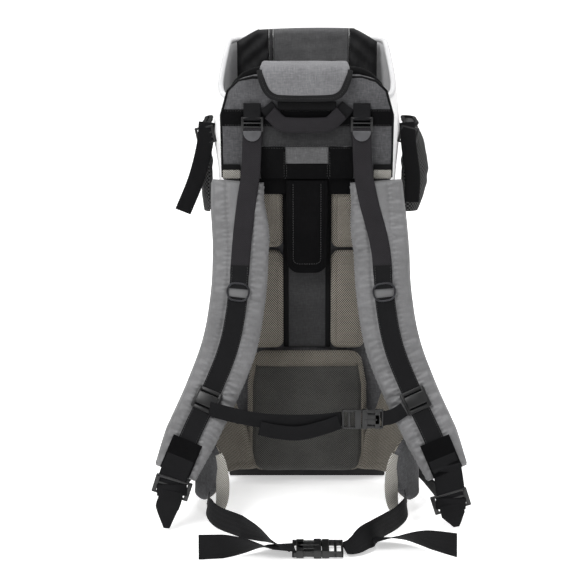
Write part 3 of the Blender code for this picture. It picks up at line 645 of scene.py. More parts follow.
def pad_line(count):
    """Points, half-widths and along, across, outward vectors of the right pad, cut back inside at its top."""
    path = smooth_path(PAD_ROUTE[:, :3], count)
    halves = np.interp(-path[:, 2], -PAD_ROUTE[:, 2], PAD_ROUTE[:, 3])
    along = tangents(path)
    across = unit(np.array([1.0, 0, 0]) - along * along[:, :1])
    out = np.cross(across, along)
    out = np.where(out[:, 1:2] > 0, -out, out)
    cut = np.clip((path[:, 2] - 0.440) / 0.080, 0, 1)
    cut = TOP_CUT * (3 * cut ** 2 - 2 * cut ** 3)
    return path + across * cut[:, None], halves - cut, along, across, out


def pad_frame(z, side, lift, slip=0.0):
    """A 4x4 frame on the pad's outer face: local X across, Y outward, Z up the pad."""
    path, _, along, across, out = pad_line(260)
    k = int(np.argmin(np.abs(path[:, 2] - z)))
    flip = np.array([side, 1, 1])
    x_axis = across[k] * flip * side
    y_axis = out[k] * flip
    z_axis = -along[k] * flip
    where = leaned((path[k] + out[k] * (PAD_T / 2 + lift) + across[k] * slip) * flip)
    return Matrix(((x_axis[0], y_axis[0], z_axis[0], where[0]), (x_axis[1], y_axis[1], z_axis[1], where[1]),
                   (x_axis[2], y_axis[2], z_axis[2], where[2]), (0, 0, 0, 1)))


# ---------------------------------------------------------------- frame and moulded parts
def frame_tubes():
    """Main U and seat hoop as drawn alloy tube; the arch is sleeved in black cloth."""
    corner, top, half = 0.050, 0.700, 0.120
    arc = [(-half + corner - corner * math.cos(a), 0.0, top - corner + corner * math.sin(a))
           for a in np.linspace(0, math.pi / 2, 14)]
    left = [(-half, 0.0, z) for z in np.linspace(0.0303, top - corner, 24)[:-1]] + arc
    route = np.array(left + [(0.0, 0.0, top)] + [(-x, y, z) for x, y, z in reversed(left)])
    put(cable("frame_tube", route, 0.011, ALLOY, 28), nodes=["main_frame_tube"])
    sleeve = np.array([p for p in route if p[2] > 0.600])
    wrinkle = 0.0134 + 0.0005 * ripple(np.arange(len(sleeve)) * 0.02, np.zeros(len(sleeve)), 0.05, 3)
    put(cable("arch_sleeve", sleeve, wrinkle, BLACK_CLOTH, 28))
    half_hoop = smooth_path([(-0.120, 0.0125, 0.238), (-0.1205, 0.0230, 0.239), (-0.138, 0.070, 0.245),
                             (-0.140, 0.150, 0.245), (-0.140, 0.205, 0.245), (-0.140, 0.228, 0.246),
                             (-0.1395, 0.2600, 0.270), (-0.137, 0.272, 0.320), (-0.134, 0.272, 0.480),
                             (-0.130, 0.272, 0.620), (-0.110, 0.272, 0.690), (-0.060, 0.272, 0.716),
                             (0, 0.272, 0.719)], 90)
    hoop = np.vstack([half_hoop, half_hoop[::-1][1:] * np.array([-1, 1, 1])])
    put(cable("seat_hoop", hoop, 0.008, ALLOY, 22), nodes=["seat_hoop_tube"])


def kickstand():
    """The U-shaped stand with its moulded pivot hubs."""
    pivot, foot = np.array([0, 0.205, 0.215]), np.array([0, 0.305, 0.016])
    down = unit(foot - pivot)
    length = np.linalg.norm(foot - pivot)
    half = [(-0.140, u) for u in np.linspace(0.011, length - 0.030, 12)]
    half += [(-0.110 - 0.030 * math.cos(a), length - 0.030 + 0.030 * math.sin(a))
             for a in np.linspace(0, math.pi / 2, 12)[1:]]
    route = np.array([pivot + down * u + np.array([x, 0, 0]) for x, u in half])
    route = np.vstack([route, route[::-1] * np.array([-1, 1, 1])])
    stand = cable("kickstand", route, 0.008, ALLOY, 22)
    put(stand, "kickstand", ["kickstand_tube"])
    for side, tag in SIDES:
        x = side * 0.140
        rings = []
        coords = []
        for r, dx in ((0.0045, -0.0079), (0.0128, -0.0079), (0.0139, -0.0068), (0.0139, 0.0068),
                      (0.0128, 0.0079),
                      (0.0045, 0.0079)):
            angles = np.arange(36) * math.tau / 36
            rings.append(np.stack([np.full(36, x + dx), pivot[1] + r * np.cos(angles),
                                   pivot[2] + r * np.sin(angles)], 1))
            coords.append(np.stack([angles * 0.01, np.full(36, dx)], 1))
        rings.append(rings[0])
        coords.append(coords[0])
        hub = shell("pivot_hub_" + tag, np.array(rings), ACETAL, np.array(coords), caps=False)
        put(hub, "kickstand")


def carried_nodes():
    """CAD nodes that keep their shape and take a real finish."""
    for name in ("base_bar", "stand_foot_L", "stand_foot_R"):
        repaint(name, RUBBER)
    for name in ("hinge_bracket_L", "hinge_bracket_R", "harness_buckle"):
        repaint(name, ACETAL)
    for name in ("lock_button_L", "lock_button_R", "harness_button"):
        repaint(name, ACETAL_GREY)
    for name in ("pivot_pin_L", "pivot_pin_R"):
        repaint(name, STEEL)


# ---------------------------------------------------------------- seat pod
def pod_outline(theta, z, inset):
    """A rounded rectangle (fourth-power superellipse) that widens up to z 0.59 and leans in above."""
    grow = np.clip((z - 0.256) / 0.34, 0, 1)
    lean = np.clip((z - 0.590) / 0.140, 0, 1)
    half_x = 0.118 + 0.045 * grow ** 0.8 - 0.021 * lean ** 1.2 - inset
    half_y = 0.112 + 0.0125 * grow - inset
    c, s = np.cos(theta), np.sin(theta)
    x = half_x * np.sign(c) * np.sqrt(np.abs(c))
    y = 0.1375 + half_y * np.sign(s) * np.sqrt(np.abs(s))
    return x, y


def pod_rim(y):
    """Height of the pod's rim at a depth y."""
    t = np.clip((y - 0.03) / 0.17, 0, 1)
    return 0.655 + 0.078 * (3 * t * t - 2 * t ** 3)


def even_angles(count):
    """Angles that give even steps along the rounded rectangle."""
    fine = np.linspace(0, math.tau, 4000, endpoint=False) + 1e-4
    x, y = pod_outline(fine, 0.5, 0.0)
    run = np.concatenate([[0], np.cumsum(np.hypot(np.diff(x), np.diff(y)))])
    return np.interp(np.linspace(0, run[-1], count, endpoint=False), run, fine)


def pod():
    """The pod's cloth shell: pale sides, grey lining, sagging between its seams, with two leg openings."""
    theta = even_angles(150)
    rows = []
    coords = []
    outer = [(t, 0.0) for t in np.concatenate([[0.0, 0.006, 0.02], np.linspace(0.05, 0.985, 46), [1.0]])]
    inner = [(t, 0.008) for t in np.concatenate([[1.0], np.linspace(0.985, 0.02, 34), [0.0]])]
    for k, (level, inset) in enumerate(outer + inner):
        floor_z = 0.256 if inset == 0 else 0.268
        x, y = pod_outline(theta, np.full_like(theta, floor_z + level * 0.4), inset)
        z = floor_z + level * (pod_rim(y) - floor_z)
        x, y = pod_outline(theta, z, inset)
        pull = 0.90 if level == 0.0 else (0.965 if level == 0.006 else 1.0)
        x, y = x * pull, 0.1375 + (y - 0.1375) * pull
        round_rim = 0.0026 if level == 1.0 else 0.0
        around = np.arctan2(y - 0.1375, x) * 0.15
        amount = 0.0022 * math.sin(math.pi * min(1, level * 1.0)) * (1 if inset == 0 else -0.5)
        dent = amount * ripple(around, z, 0.09, 11) + 0.4 * amount * ripple(around, z * 0.5, 0.03, 12)
        dent = dent - 0.0025 * math.sin(math.pi * level) * (1 if inset == 0 else 0)
        norm = np.stack([x, y - 0.1375], 1)
        norm = unit(norm)
        shift = dent - round_rim * (1 if inset == 0 else -1)
        x, y = x + norm[:, 0] * shift, y + norm[:, 1] * shift
        rows.append(np.stack([x, y, z], 1))
        coords.append(np.stack([around * 7 / 6.2, z], 1))
    body = shell("pod_body", np.array(rows), PALE, np.array(coords), caps=False)
    bm = bmesh.new()
    bm.from_mesh(body.data)
    for ring in (0, len(rows) - 1):
        bm.verts.ensure_lookup_table()
        bm.faces.new([bm.verts[ring * 150 + j] for j in range(150)])
    bmesh.ops.recalc_face_normals(bm, faces=bm.faces[:])
    bm.to_mesh(body.data)
    bm.free()
    body.data.materials.append(EDGE_GREY)
    body.data.materials.append(CHARCOAL_CLOTH)
    split = (len(outer) - 1) * 150
    for poly in body.data.polygons:
        z = poly.center[2]
        if poly.vertices[0] >= split or max(poly.vertices) >= split + 150:
            poly.material_index = 1
        elif z < 0.335 or abs(poly.center[0]) < 0.100:
            poly.material_index = 2
    cutter = rounded_bar("leg_cutter", (-0.30, 0.034, 0.330), (0.30, 0.112, 0.455), PALE, 0.030, None, 8)
    mod = body.modifiers.new("legs", "BOOLEAN")
    mod.operation = "DIFFERENCE"
    mod.solver = "EXACT"
    mod.object = cutter
    bpy.context.view_layer.update()
    cut = bpy.data.meshes.new_from_object(body.evaluated_get(bpy.context.evaluated_depsgraph_get()))
    body.modifiers.clear()
    body.data = cut
    bpy.data.objects.remove(cutter, do_unlink=True)
    put(body, nodes=["pod_shell"])
    x, y = pod_outline(theta, np.full_like(theta, 0.66), 0.004)
    z = pod_rim(y)
    x, y = pod_outline(theta, z, 0.004)
    rim = np.stack([x, y, z + 0.0005], 1)
    put(cable("pod_rim_binding", rim, 0.0048, EDGE_GREY, 12, True))
    for side, tag in SIDES:
        loop = []
        for a in np.linspace(0, math.tau, 60, endpoint=False):
            cy = 0.073 + 0.039 * np.sign(math.cos(a)) * abs(math.cos(a)) ** 0.6
            cz = 0.3925 + 0.0625 * np.sign(math.sin(a)) * abs(math.sin(a)) ** 0.6
            grow = min(1, (cz - 0.256) / 0.34)
            half_x = 0.118 + 0.045 * grow ** 0.8 - 0.004
            half_y = 0.112 + 0.0125 * grow - 0.004
            loop.append((side * half_x * (1 - min(0.98, abs(cy - 0.1375) / half_y) ** 4) ** 0.25, cy, cz))
        put(cable("leg_binding_" + tag, loop, 0.0062, BLACK_CLOTH, 10, True))


def seat():
    """Cushioned child seat and the support under it."""
    route = smooth_path([(0, 0.049, 0.343), (0, 0.080, 0.3500), (0, 0.130, 0.3490), (0, 0.170, 0.352),
                         (0, 0.196, 0.376),
                         (0, 0.206, 0.430), (0, 0.212, 0.500), (0, 0.217, 0.570)], 70)
    along = tangents(route)
    normal = np.cross(along, np.array([-1.0, 0, 0]))
    s = -np.cos(np.pi * np.arange(41) / 40)
    rows, coords = [], []
    run = run_length(route)
    for p, n, r in zip(route, normal, run):
        share = min(r, run[-1] - r)
        rise = edge_round(0.085 * (1 - np.abs(s)), 0.012) * edge_round(np.array(share), 0.014)
        quilt = 0.0022 * gauss(math.fmod(r, 0.055) - 0.0275, 0, 0.005) * 1.0
        top = 0.0075 + 0.004 * (1 - s ** 2) - quilt - 0.003 * gauss(np.abs(s), 0.62, 0.06)
        front = p[None] + np.outer(s * 0.085, (1, 0, 0)) + np.outer(top * rise, n)
        back = p[None] + np.outer(s[1:-1][::-1] * 0.085, (1, 0, 0)) - np.outer(0.007 * rise[1:-1][::-1], n)
        rows.append(np.vstack([front, back]))
        coords.append(np.stack([rows[-1][:, 0], np.full(len(rows[-1]), r)], 1))
    cushion = shell("seat_cushion", np.array(rows), CHARCOAL_CLOTH, np.array(coords))
    put(cushion, nodes=["child_seat"])
    zs = heights(0.269, 0.3210, 24)
    side = 0.074 - corner_inset(zs, 0.012, 0.012)
    base = pillow("seat_support", zs, -side, side, 0.066, 0.204, FOAM_LINE, 0.012)
    put(base, nodes=["seat_base"])


def headrest():
    """Three-panel headrest: grey centre, near-black gathered sides, a stitched strip at the left seam."""
    def top_edge(x):
        """Top height across the headrest: level in the middle, sloping at the shoulders."""
        a = np.abs(x)
        return np.where(a < 0.084, 0.7565 - 0.0020 * (a / 0.084) ** 2 - 0.0012 * np.sign(-x) * (a / 0.084),
                        0.7545 - 0.0225 * (np.maximum(a - 0.084, 0) / 0.040) ** 1.15)

    spans = (("side_L", -0.1235, -0.0672, SIDE_BLACK), ("strip", -0.0668, -0.0600, CHARCOAL_CLOTH),
             ("centre", -0.0596, 0.0738, HEADREST_GREY), ("side_R", 0.0742, 0.1235, SIDE_BLACK))
    for k, (tag, x0, x1, mat) in enumerate(spans):
        cols = 36
        s = -np.cos(np.pi * np.arange(cols + 1) / cols)
        x = (x0 + x1) / 2 + (x1 - x0) / 2 * s
        outer_l, outer_r = x0 < -0.12, x1 > 0.12
        rows, coords = [], []
        for t in 0.5 - 0.5 * np.cos(np.pi * np.linspace(0, 1, 46)):
            top = top_edge(x)
            z = 0.588 + (top - 0.588) * t
            d_end = np.minimum((top - 0.588) * t, (top - 0.588) * (1 - t))
            rise_l = edge_round(x - x0, 0.010 if outer_l else 0.0022)
            rise_r = edge_round(x1 - x, 0.010 if outer_r else 0.0022)
            rise = rise_l * rise_r
            rise = rise * edge_round(d_end, 0.009)
            fold = 0.0016 * ripple(x * 2.0, z, 0.05, 21 + k) + 0.0007 * ripple(x * 3, z, 0.02, 31 + k)
            if tag.startswith("side"):
                fold = fold + 0.0022 * np.sin((z + x * 0.9 * (1 if x0 > 0 else -1)) * 210) * gauss(z, 0.722,
                                                                                                   0.05)
            front = 0.1980 - 0.002 * (1 - s ** 2) + fold * edge_round(d_end, 0.02)
            mid = 0.2065
            yf = mid + (front - mid) * rise
            yb = mid + (0.2150 - mid) * rise
            ring = np.concatenate([np.stack([x, yf, z], 1),
                                   np.stack([x[1:-1][::-1], yb[1:-1][::-1], z[1:-1][::-1]], 1)])
            rows.append(ring)
            coords.append(ring[:, [0, 2]])
        piece = shell("headrest_" + tag, np.array(rows), mat, np.array(coords))
        put(piece, nodes=["headrest"])
    lines = []
    for x in (-0.0690, -0.0580, 0.0720, 0.0760):
        z = np.linspace(0.600, float(top_edge(np.array(x))) - 0.006, 60)
        lines.append(np.stack([np.full(60, x), np.full(60, 0.1972), z], 1))
    put(stitches("headrest_stitching", lines, THREAD_DARK))


def child_harness():
    """Y-shaped child harness webbing down to its buckle."""
    half = smooth_path([(0.052, 0.1950, 0.700), (0.050, 0.1945, 0.620), (0.046, 0.190, 0.560),
                        (0.036, 0.180, 0.470),
                        (0.018, 0.162, 0.418), (0.0, 0.160, 0.410)], 40)
    path = np.vstack([half, half[::-1][1:] * np.array([-1, 1, 1])])
    along = tangents(path)
    across = np.cross(along, np.array([0, -0.6, 0.8]))
    piece = band("harness_webbing", path, across, 0.022, WEBBING)
    put(piece, nodes=["child_harness"])


def storage_bag():
    """Zipped bag under the seat: a sagging box of cloth and a zip across its back."""
    zs = heights(0.080, 0.2335, 40)
    side = 0.1155 - corner_inset(zs, 0.022, 0.012) + 0.0015 * np.sin(zs * 90)
    droop = lambda x, z: 0.0505 + 0.0025 * ripple(x, z, 0.08, 41)
    rear = lambda x, z: 0.1965 + 0.0012 * ripple(x, z, 0.07, 42)
    bag = pillow("storage_bag_body", zs, -side, side, droop, rear, HEATHER, 0.016, 50)
    put(bag, nodes=["storage_bag"])
    tape = np.stack([np.linspace(-0.096, 0.096, 60), np.full(60, 0.1980), np.full(60, 0.194)], 1)
    put(band("zip_tape", tape, (0, 0, 1), 0.026, BLACK_CLOTH, 0.0010))
    teeth = []
    for k in range(74):
        x = -0.0905 + k * 0.00245
        teeth.append(rounded_bar("tooth", (x - 0.0008, 0.1984, 0.1915 + (k % 2) * 0.0008),
                                 (x + 0.0008, 0.1998, 0.1957 + (k % 2) * 0.0008), ACETAL, 0.0003, None, 1))
    put(join("zip_teeth", teeth))
    body = rounded_bar("z1", (0.0720, 0.2002, 0.1895), (0.0820, 0.2030, 0.1985), STEEL, 0.0009)
    bridge = rounded_bar("z2", (0.0745, 0.2028, 0.1920), (0.0795, 0.2050, 0.1960), STEEL, 0.0007)
    pull = rounded_bar("z3", (0.0750, 0.2052, 0.1680), (0.0790, 0.2064, 0.1935), STEEL, 0.0005)
    cord = rounded_bar("z4", (0.0745, 0.2046, 0.1480), (0.0795, 0.2070, 0.1690), RUBBER, 0.0010)
    put(join("zip_runner", [body, bridge, pull, cord]), "zip_slider", ["zipper_slider"])


# ---------------------------------------------------------------- general soft shapes
def quilt(name, route, half, front, back, mat, across, face, side_round=0.010, end_round=0.010, cols=44,
          relief=None, behind=None):
    """A pad along a path: two skins meeting in quarter-round borders; relief(s, run) raises the front."""
    route = np.array(route, float)
    along = tangents(route)
    across = np.broadcast_to(np.array(across, float), route.shape)
    across = unit(across - along * np.sum(across * along, 1, keepdims=True))
    normal = np.cross(across, along)
    mid = len(route) // 2
    if np.dot(normal[mid], np.array(face, float)) < 0:
        normal = -normal
    run = run_length(route)
    half = np.broadcast_to(np.array(half, float), (len(route),))
    s = -np.cos(np.pi * np.arange(cols + 1) / cols)
    inside = half[:, None] * (1 - np.abs(s))[None]
    end = np.minimum(run, run[-1] - run)[:, None]
    rise = edge_round(inside, side_round) * edge_round(end, end_round)
    lift = front * rise
    if relief is not None:
        lift = lift + relief(np.broadcast_to(s, rise.shape), run[:, None] + 0 * rise) * rise
    span = route[:, None] + (s[None, :, None] * half[:, None, None]) * across[:, None]
    top = span + lift[..., None] * normal[:, None]
    low = (span - (back * rise)[..., None] * normal[:, None])[:, 1:-1][:, ::-1]
    width = s[None] * half[:, None]
    uv_x = np.concatenate([width, width[:, 1:-1][:, ::-1]], 1)
    coords = np.stack([uv_x, np.broadcast_to(run[:, None], uv_x.shape)], 2)
    pad = shell(name, np.concatenate([top, low], 1), mat, coords)
    if behind is not None:
        pad.data.materials.append(behind)
        index = np.arange(len(pad.data.polygons)) % (2 * cols)
        pad.data.polygons.foreach_set("material_index", (index >= cols).astype(np.int32))
    return pad


def patch(name, x0, x1, z0, z1, y, thick, mat, corner=0.004, seed=1, waves=0.0004):
    """A sewn-on cloth panel facing -Y: thin, rounded at its corners, with faint unevenness."""
    zs = heights(z0, z1, 26)
    inset = corner_inset(zs, corner, corner)
    return pillow(name, zs, x0 + inset, x1 - inset, lambda x, z: y + waves * ripple(x, z, 0.05, seed),
                  y + thick, mat,
                  0.0018, 36)


def pad_track(side, share, lift, high, low, count=60):
    """A line on the shoulder pad's outer face between two heights: points, across and outward vectors."""
    path, halves, _, across, out = pad_line(260)
    order = np.argsort(path[:, 2])
    want = np.linspace(high, low, count)
    read = lambda v: np.stack([np.interp(want, path[order, 2], v[order, k]) for k in range(3)], 1)
    half = np.interp(want, path[order, 2], halves[order])
    centre, w, n = read(path), unit(read(across)), unit(read(out))
    flip = np.array([side, 1, 1])
    points = centre + w * (half * share)[:, None] + n * (PAD_T / 2 + lift)
    return leaned(points * flip), w * flip, n * flip


def ladder(name, place, wide, tall, rail=0.0042, mat=ACETAL):
    """A ladder-lock: two rails and four crossbars, the lower ones ribbed for grip."""
    bits = []
    for x in (-1, 1):
        low, high = sorted((x * wide / 2, x * (wide / 2 - rail)))
        bits.append(rounded_bar("b", (low, -0.0028, -tall / 2), (high, 0.0028, tall / 2), mat, 0.0013, place))
    for low, high, deep in ((-0.50, -0.39, 0.0028), (-0.23, -0.12, 0.0024), (0.04, 0.16, 0.0024),
                            (0.38, 0.50, 0.0028)):
        bits.append(rounded_bar("b", (-wide / 2 + 0.002, -deep, low * tall),
                                (wide / 2 - 0.002, deep, high * tall),
                                mat, 0.0011, place))
    for k in range(5):
        x = (k - 2) * wide * 0.15
        bits.append(rounded_bar("b", (x - 0.0009, -0.0034, -0.49 * tall),
                                (x + 0.0009, -0.0024, -0.41 * tall), mat,
                                0.0004, place, 1))
    return join(name, bits)


def side_release(kind, mouth, toward, socket_long, plug_long, wide, deep, turn):
    """A side-release buckle: a windowed socket, and a plug with two prongs in the windows and a strap bar."""
    socket = ((-0.84, 0.0, -0.27, 0.27, 0.44), (-0.26, 0.0, -0.5, 0.5, 0.50), (-0.86, -0.60, -0.5, 0.5, 0.44),
              (-1.0, -0.80, -0.5, -0.39, 0.36), (-1.0, -0.80, 0.39, 0.5, 0.36),
              (-1.0, -0.92, -0.5, 0.5, 0.36),
              (-0.72, -0.08, -0.05, 0.05, 0.56))
    prong = 0.62 * socket_long / plug_long
    plug = ((0.03, 0.36, -0.5, 0.5, 0.46), (-prong, 0.10, -0.47, -0.33, 0.34),
            (-prong, 0.10, 0.33, 0.47, 0.34),
            (0.30, 1.0, -0.5, -0.39, 0.36), (0.30, 1.0, 0.39, 0.5, 0.36), (0.90, 1.0, -0.5, 0.5, 0.36),
            (0.58, 0.70, -0.5, 0.5, 0.30))
    place = Matrix.Translation(mouth) @ Matrix.Rotation(turn, 4, "X")
    for half, bars, long, body in (("socket", socket, socket_long, "carrier"),
                                   ("plug", plug, plug_long, kind + "_plug")):
        bits = []
        for u0, u1, w0, w1, depth in bars:
            low, high = sorted((toward * u0 * long, toward * u1 * long))
            bits.append(rounded_bar("b", (low, -depth * deep, w0 * wide), (high, depth * deep, w1 * wide),
                                    ACETAL,
                                    0.0012, place))
        put(join(kind + "_release_" + half, bits), body, [kind + "_buckle_" + half])


def strap(name, route, across, width, mat, body, node=(), count=70, thick=WEB_T):
    """A free webbing strap on a smooth route."""
    path = smooth_path(route, count)
    across = np.array(across, float)
    if across.ndim == 2:
        across = np.stack([np.interp(np.linspace(0, 1, count), np.linspace(0, 1, len(across)), across[:, k])
                           for k in range(3)], 1)
    piece = band(name, path, across, width, mat, thick)
    put(piece, body, list(node))
    return piece


# ---------------------------------------------------------------- back panel and cover
def panel_side(z):
    """Half-width of the back panel at each height."""
    return np.interp(z, [0.034, 0.060, 0.300, 0.640, 0.679, 0.695, 0.7025],
                     [0.098, 0.128, 0.136, 0.140, 0.129, 0.112, 0.083])


def back_panel():
    """The full-height board, the padded upper panel and the cover stretched over it."""
    zs = heights(0.034, 0.7020, 70)
    side = panel_side(zs) - 0.0005
    board = pillow("back_board", zs, -side, side, -0.0232, -0.0116, HEATHER, 0.005, 60)
    put(board, nodes=["back_panel"])
    zs = heights(0.5355, 0.7020, 40)
    side = panel_side(zs) - 0.0010
    upper = pillow("upper_padding", zs, -side, side, -0.0398, -0.0240, HEATHER, 0.007, 60)
    put(upper, nodes=["upper_panel_pad"])

    def face(x, z):
        """Cloth tension: shallow vertical drags under the handle and a slack dip towards the edges."""
        drag = 0.0009 * np.sin(x * 150 + 3 * z) * gauss(z, 0.600, 0.03) * gauss(np.abs(x), 0.05, 0.05)
        return -0.0500 + 0.0009 * ripple(x, z, 0.06, 51) + 0.0004 * ripple(x, z, 0.022, 52) + drag

    cover = pillow("upper_cover_cloth", zs, -side, side, face, -0.0450, HEATHER, 0.0035, 90)
    put(cover, nodes=["upper_cover"])
    pieces = [
        patch("cross_band", -0.1380, 0.1380, 0.6225, 0.6495, -0.0522, 0.0019, BLACK_CLOTH, 0.002, 63, 0.0006),
        # the field under the haul loop, in darker cloth with the loop's shadow painted into its colour
        patch("handle_field", -0.0735, 0.0735, 0.5890, 0.6220, -0.0516, 0.0014, HEATHER_DARK_WITH_SHADOW, 0.002, 64,
              0.0007),
        patch("dark_square_L", -0.0755, -0.0352, 0.5360, 0.5886, -0.0519, 0.0017, BLACK_CLOTH, 0.002, 65),
        patch("dark_square_R", 0.0352, 0.0755, 0.5360, 0.5886, -0.0519, 0.0017, BLACK_CLOTH, 0.002, 66),
        patch("light_patch", -0.0348, 0.0348, 0.5610, 0.5886, -0.0517, 0.0015, PATCH_GREY, 0.002, 67),
        patch("slot_binding", -0.0350, 0.0350, 0.5355, 0.5606, -0.0520, 0.0018, BLACK_CLOTH, 0.002, 68)]
    for piece in pieces:
        put(piece)
    for side, tag in SIDES:
        low, high = sorted((side * 0.1375, side * 0.1085))
        pocket = patch("cover_pocket_" + tag, low, high, 0.5360, 0.5520, -0.0522, 0.0020, BRIGHT_MESH,
                       0.003, 69)
        put(pocket)
        hem = np.stack([np.linspace(low, high, 20), np.full(20, -0.0530), np.full(20, 0.5555)], 1)
        put(band("pocket_hem_" + tag, hem, (0, 0, 1), 0.009, ELASTIC, 0.0014))
    lines = []
    for z in (0.6245, 0.6475):
        lines.append(np.stack([np.linspace(-0.134, 0.134, 90), np.full(90, -0.0529), np.full(90, z)], 1))
    for z in (0.5908, 0.5868):
        lines.append(np.stack([np.linspace(-0.072, 0.072, 60), np.full(60, -0.0526), np.full(60, z)], 1))
    for x in (-0.0372, -0.0332, 0.0332, 0.0372):
        lines.append(np.stack([np.full(20, x), np.full(20, -0.0526), np.linspace(0.539, 0.583, 20)], 1))
    put(stitches("cover_stitching", lines, THREAD_DARK))
    level = np.concatenate([np.linspace(0.538, 0.640, 30), np.linspace(0.6415, 0.7010, 30)])
    right = np.stack([panel_side(level) - 0.0012, np.full(60, -0.0482), level], 1)
    rim = np.vstack([right, right[::-1] * np.array([-1, 1, 1])])
    put(cable("cover_piping", rim, 0.0024, ELASTIC, 10))


def yoke():
    """The sliding yoke board and the height tongue with its raised stitched border."""
    zs = heights(0.5085, 0.5898, 30)
    side = 0.1118 - corner_inset(zs, 0.014, 0.014)
    plate = pillow("yoke_board", zs, -side, side, -0.0444, -0.0404, BLACK_CLOTH, 0.0018, 40)
    put(plate, "yoke", ["yoke_plate"])
    zs = heights(0.3765, 0.5338, 70)
    taper = np.interp(zs, [0.376, 0.392, 0.534], [0.027, 0.0335, 0.0345])
    side = taper - corner_inset(zs, 0.014, 0.001)

    def border(x, z):
        """A raised U, 7 mm in from the edge, with a shallow groove on either side of it."""
        edge = np.minimum(np.interp(z, zs, side) - np.abs(x), z - 0.3765)
        return -0.0011 * gauss(edge, 0.0075, 0.0018) + 0.0007 * gauss(edge, 0.0115,
                                                                      0.0012) + 0.0005 * ripple(x, z, 0.03,
                                                                                                71)

    tongue = pillow("height_tongue_pad", zs, -side, side, -0.0526, -0.0450, BLACK_CLOTH, 0.003, 60, border)
    put(tongue, "yoke", ["height_tongue"])
    u = [(-0.0228, z) for z in np.linspace(0.528, 0.402, 50)]
    u += [(-0.0138 - 0.009 * math.cos(a), 0.402 - 0.009 * math.sin(a)) for a in np.linspace(0, math.pi / 2,
                                                                                            10)[1:]]
    u += [(x, 0.393) for x in np.linspace(-0.0128, 0.0128, 14)]
    u = np.array(u + [(-x, z) for x, z in u[:58][::-1]])
    line = np.stack([u[:, 0], np.full(len(u), -0.0533), u[:, 1]], 1)
    put(stitches("tongue_stitching", [line], THREAD_GREY, pitch=0.0040), "yoke")


# ---------------------------------------------------------------- back and lumbar pads
def back_pads():
    """Four beige spacer-mesh pads, crowned, with a seam 10 mm inside each border, beside a dark channel."""
    for side, tag in SIDES:
        for level, z0, z1, low_w, high_w, seed in (("lower", 0.2415, 0.4115, 0.0965, 0.1025, 81),
                                                   ("upper", 0.4165, 0.5325, 0.1040, 0.1075, 85)):
            zs = heights(z0, z1, 76)
            inset = corner_inset(zs, 0.014, 0.014)
            outer = np.interp(zs, [z0, z1], [low_w, high_w]) - inset
            inner = 0.0398 + inset
            left, right = (inner, outer) if side > 0 else (-outer, -inner)

            def seam(x, z, left=left, right=right, zs=zs, z0=z0, z1=z1, seed=seed):
                edge = np.minimum(np.minimum(x - np.interp(z, zs, left), np.interp(z, zs, right) - x),
                                  np.minimum(z - z0, z1 - z))
                return 0.0018 * gauss(edge, 0.0105, 0.0016) + 0.0005 * ripple(x, z, 0.035, seed)

            name = "back_pad_mesh_" + level + "_" + tag
            pad = pillow(name, zs, left, right, -0.0385, -0.0240, BEIGE_MESH, 0.0085, 60, seam,
                         0.0045 if level == "lower" else 0.0012)
            put(pad, nodes=["back_pad_" + level + "_" + tag])
    zs = heights(0.2400, 0.5345, 60)
    width = np.full_like(zs, 0.0375)
    slack = lambda x, z: -0.0268 + 0.0010 * ripple(x, z, 0.06, 91) + 0.0012 * np.cos(x * 80)
    channel = pillow("channel_cloth", zs, -width, width, slack, -0.0236, CHARCOAL_CLOTH, 0.003, 40)
    put(channel)
    for side, tag in SIDES:
        edge = np.stack([np.full(60, side * 0.0352), np.full(60, -0.0300), np.linspace(0.243, 0.532, 60)], 1)
        put(band("channel_binding_" + tag, edge, (1, 0, 0), 0.0085, ELASTIC, 0.0016))


def lumbar():
    """The lumbar cushion: dark spacer mesh, a lighter top roll, vertical side seams and deep rounded ends."""
    zs = heights(0.0225, 0.2380, 110)
    side = np.interp(zs, [0.022, 0.060, 0.180, 0.2385], [0.094, 0.1025, 0.1010, 0.090])
    side = side - corner_inset(zs, 0.018, 0.018)

    def seams(x, z):
        """Side seams at 93 % of the width, the seam under the top roll, and soft sag between them."""
        edge = np.interp(z, zs, side)
        return (0.0038 * gauss(np.abs(x), edge * 0.905, 0.0028) + 0.0030 * gauss(z, 0.2145, 0.0028)
                + 0.0012 * ripple(x, z, 0.075, 101) + 0.0004 * ripple(x, z, 0.02, 102))

    pad = pillow("lumbar_cushion", zs, -side, side, -0.0500, -0.0240, LUMBAR_MESH, 0.016, 96, seams, 0.0105)
    pad.data.materials.append(SIDE_MESH)
    centre = np.empty(len(pad.data.polygons) * 3)
    pad.data.polygons.foreach_get("center", centre)
    centre = centre.reshape(-1, 3)
    outer = (np.abs(centre[:, 0]) > 0.905 * np.interp(centre[:, 2], zs, side)) | (centre[:, 2] > 0.2145)
    pad.data.polygons.foreach_set("material_index", outer.astype(np.int32))
    put(pad, nodes=["lumbar_pad"])


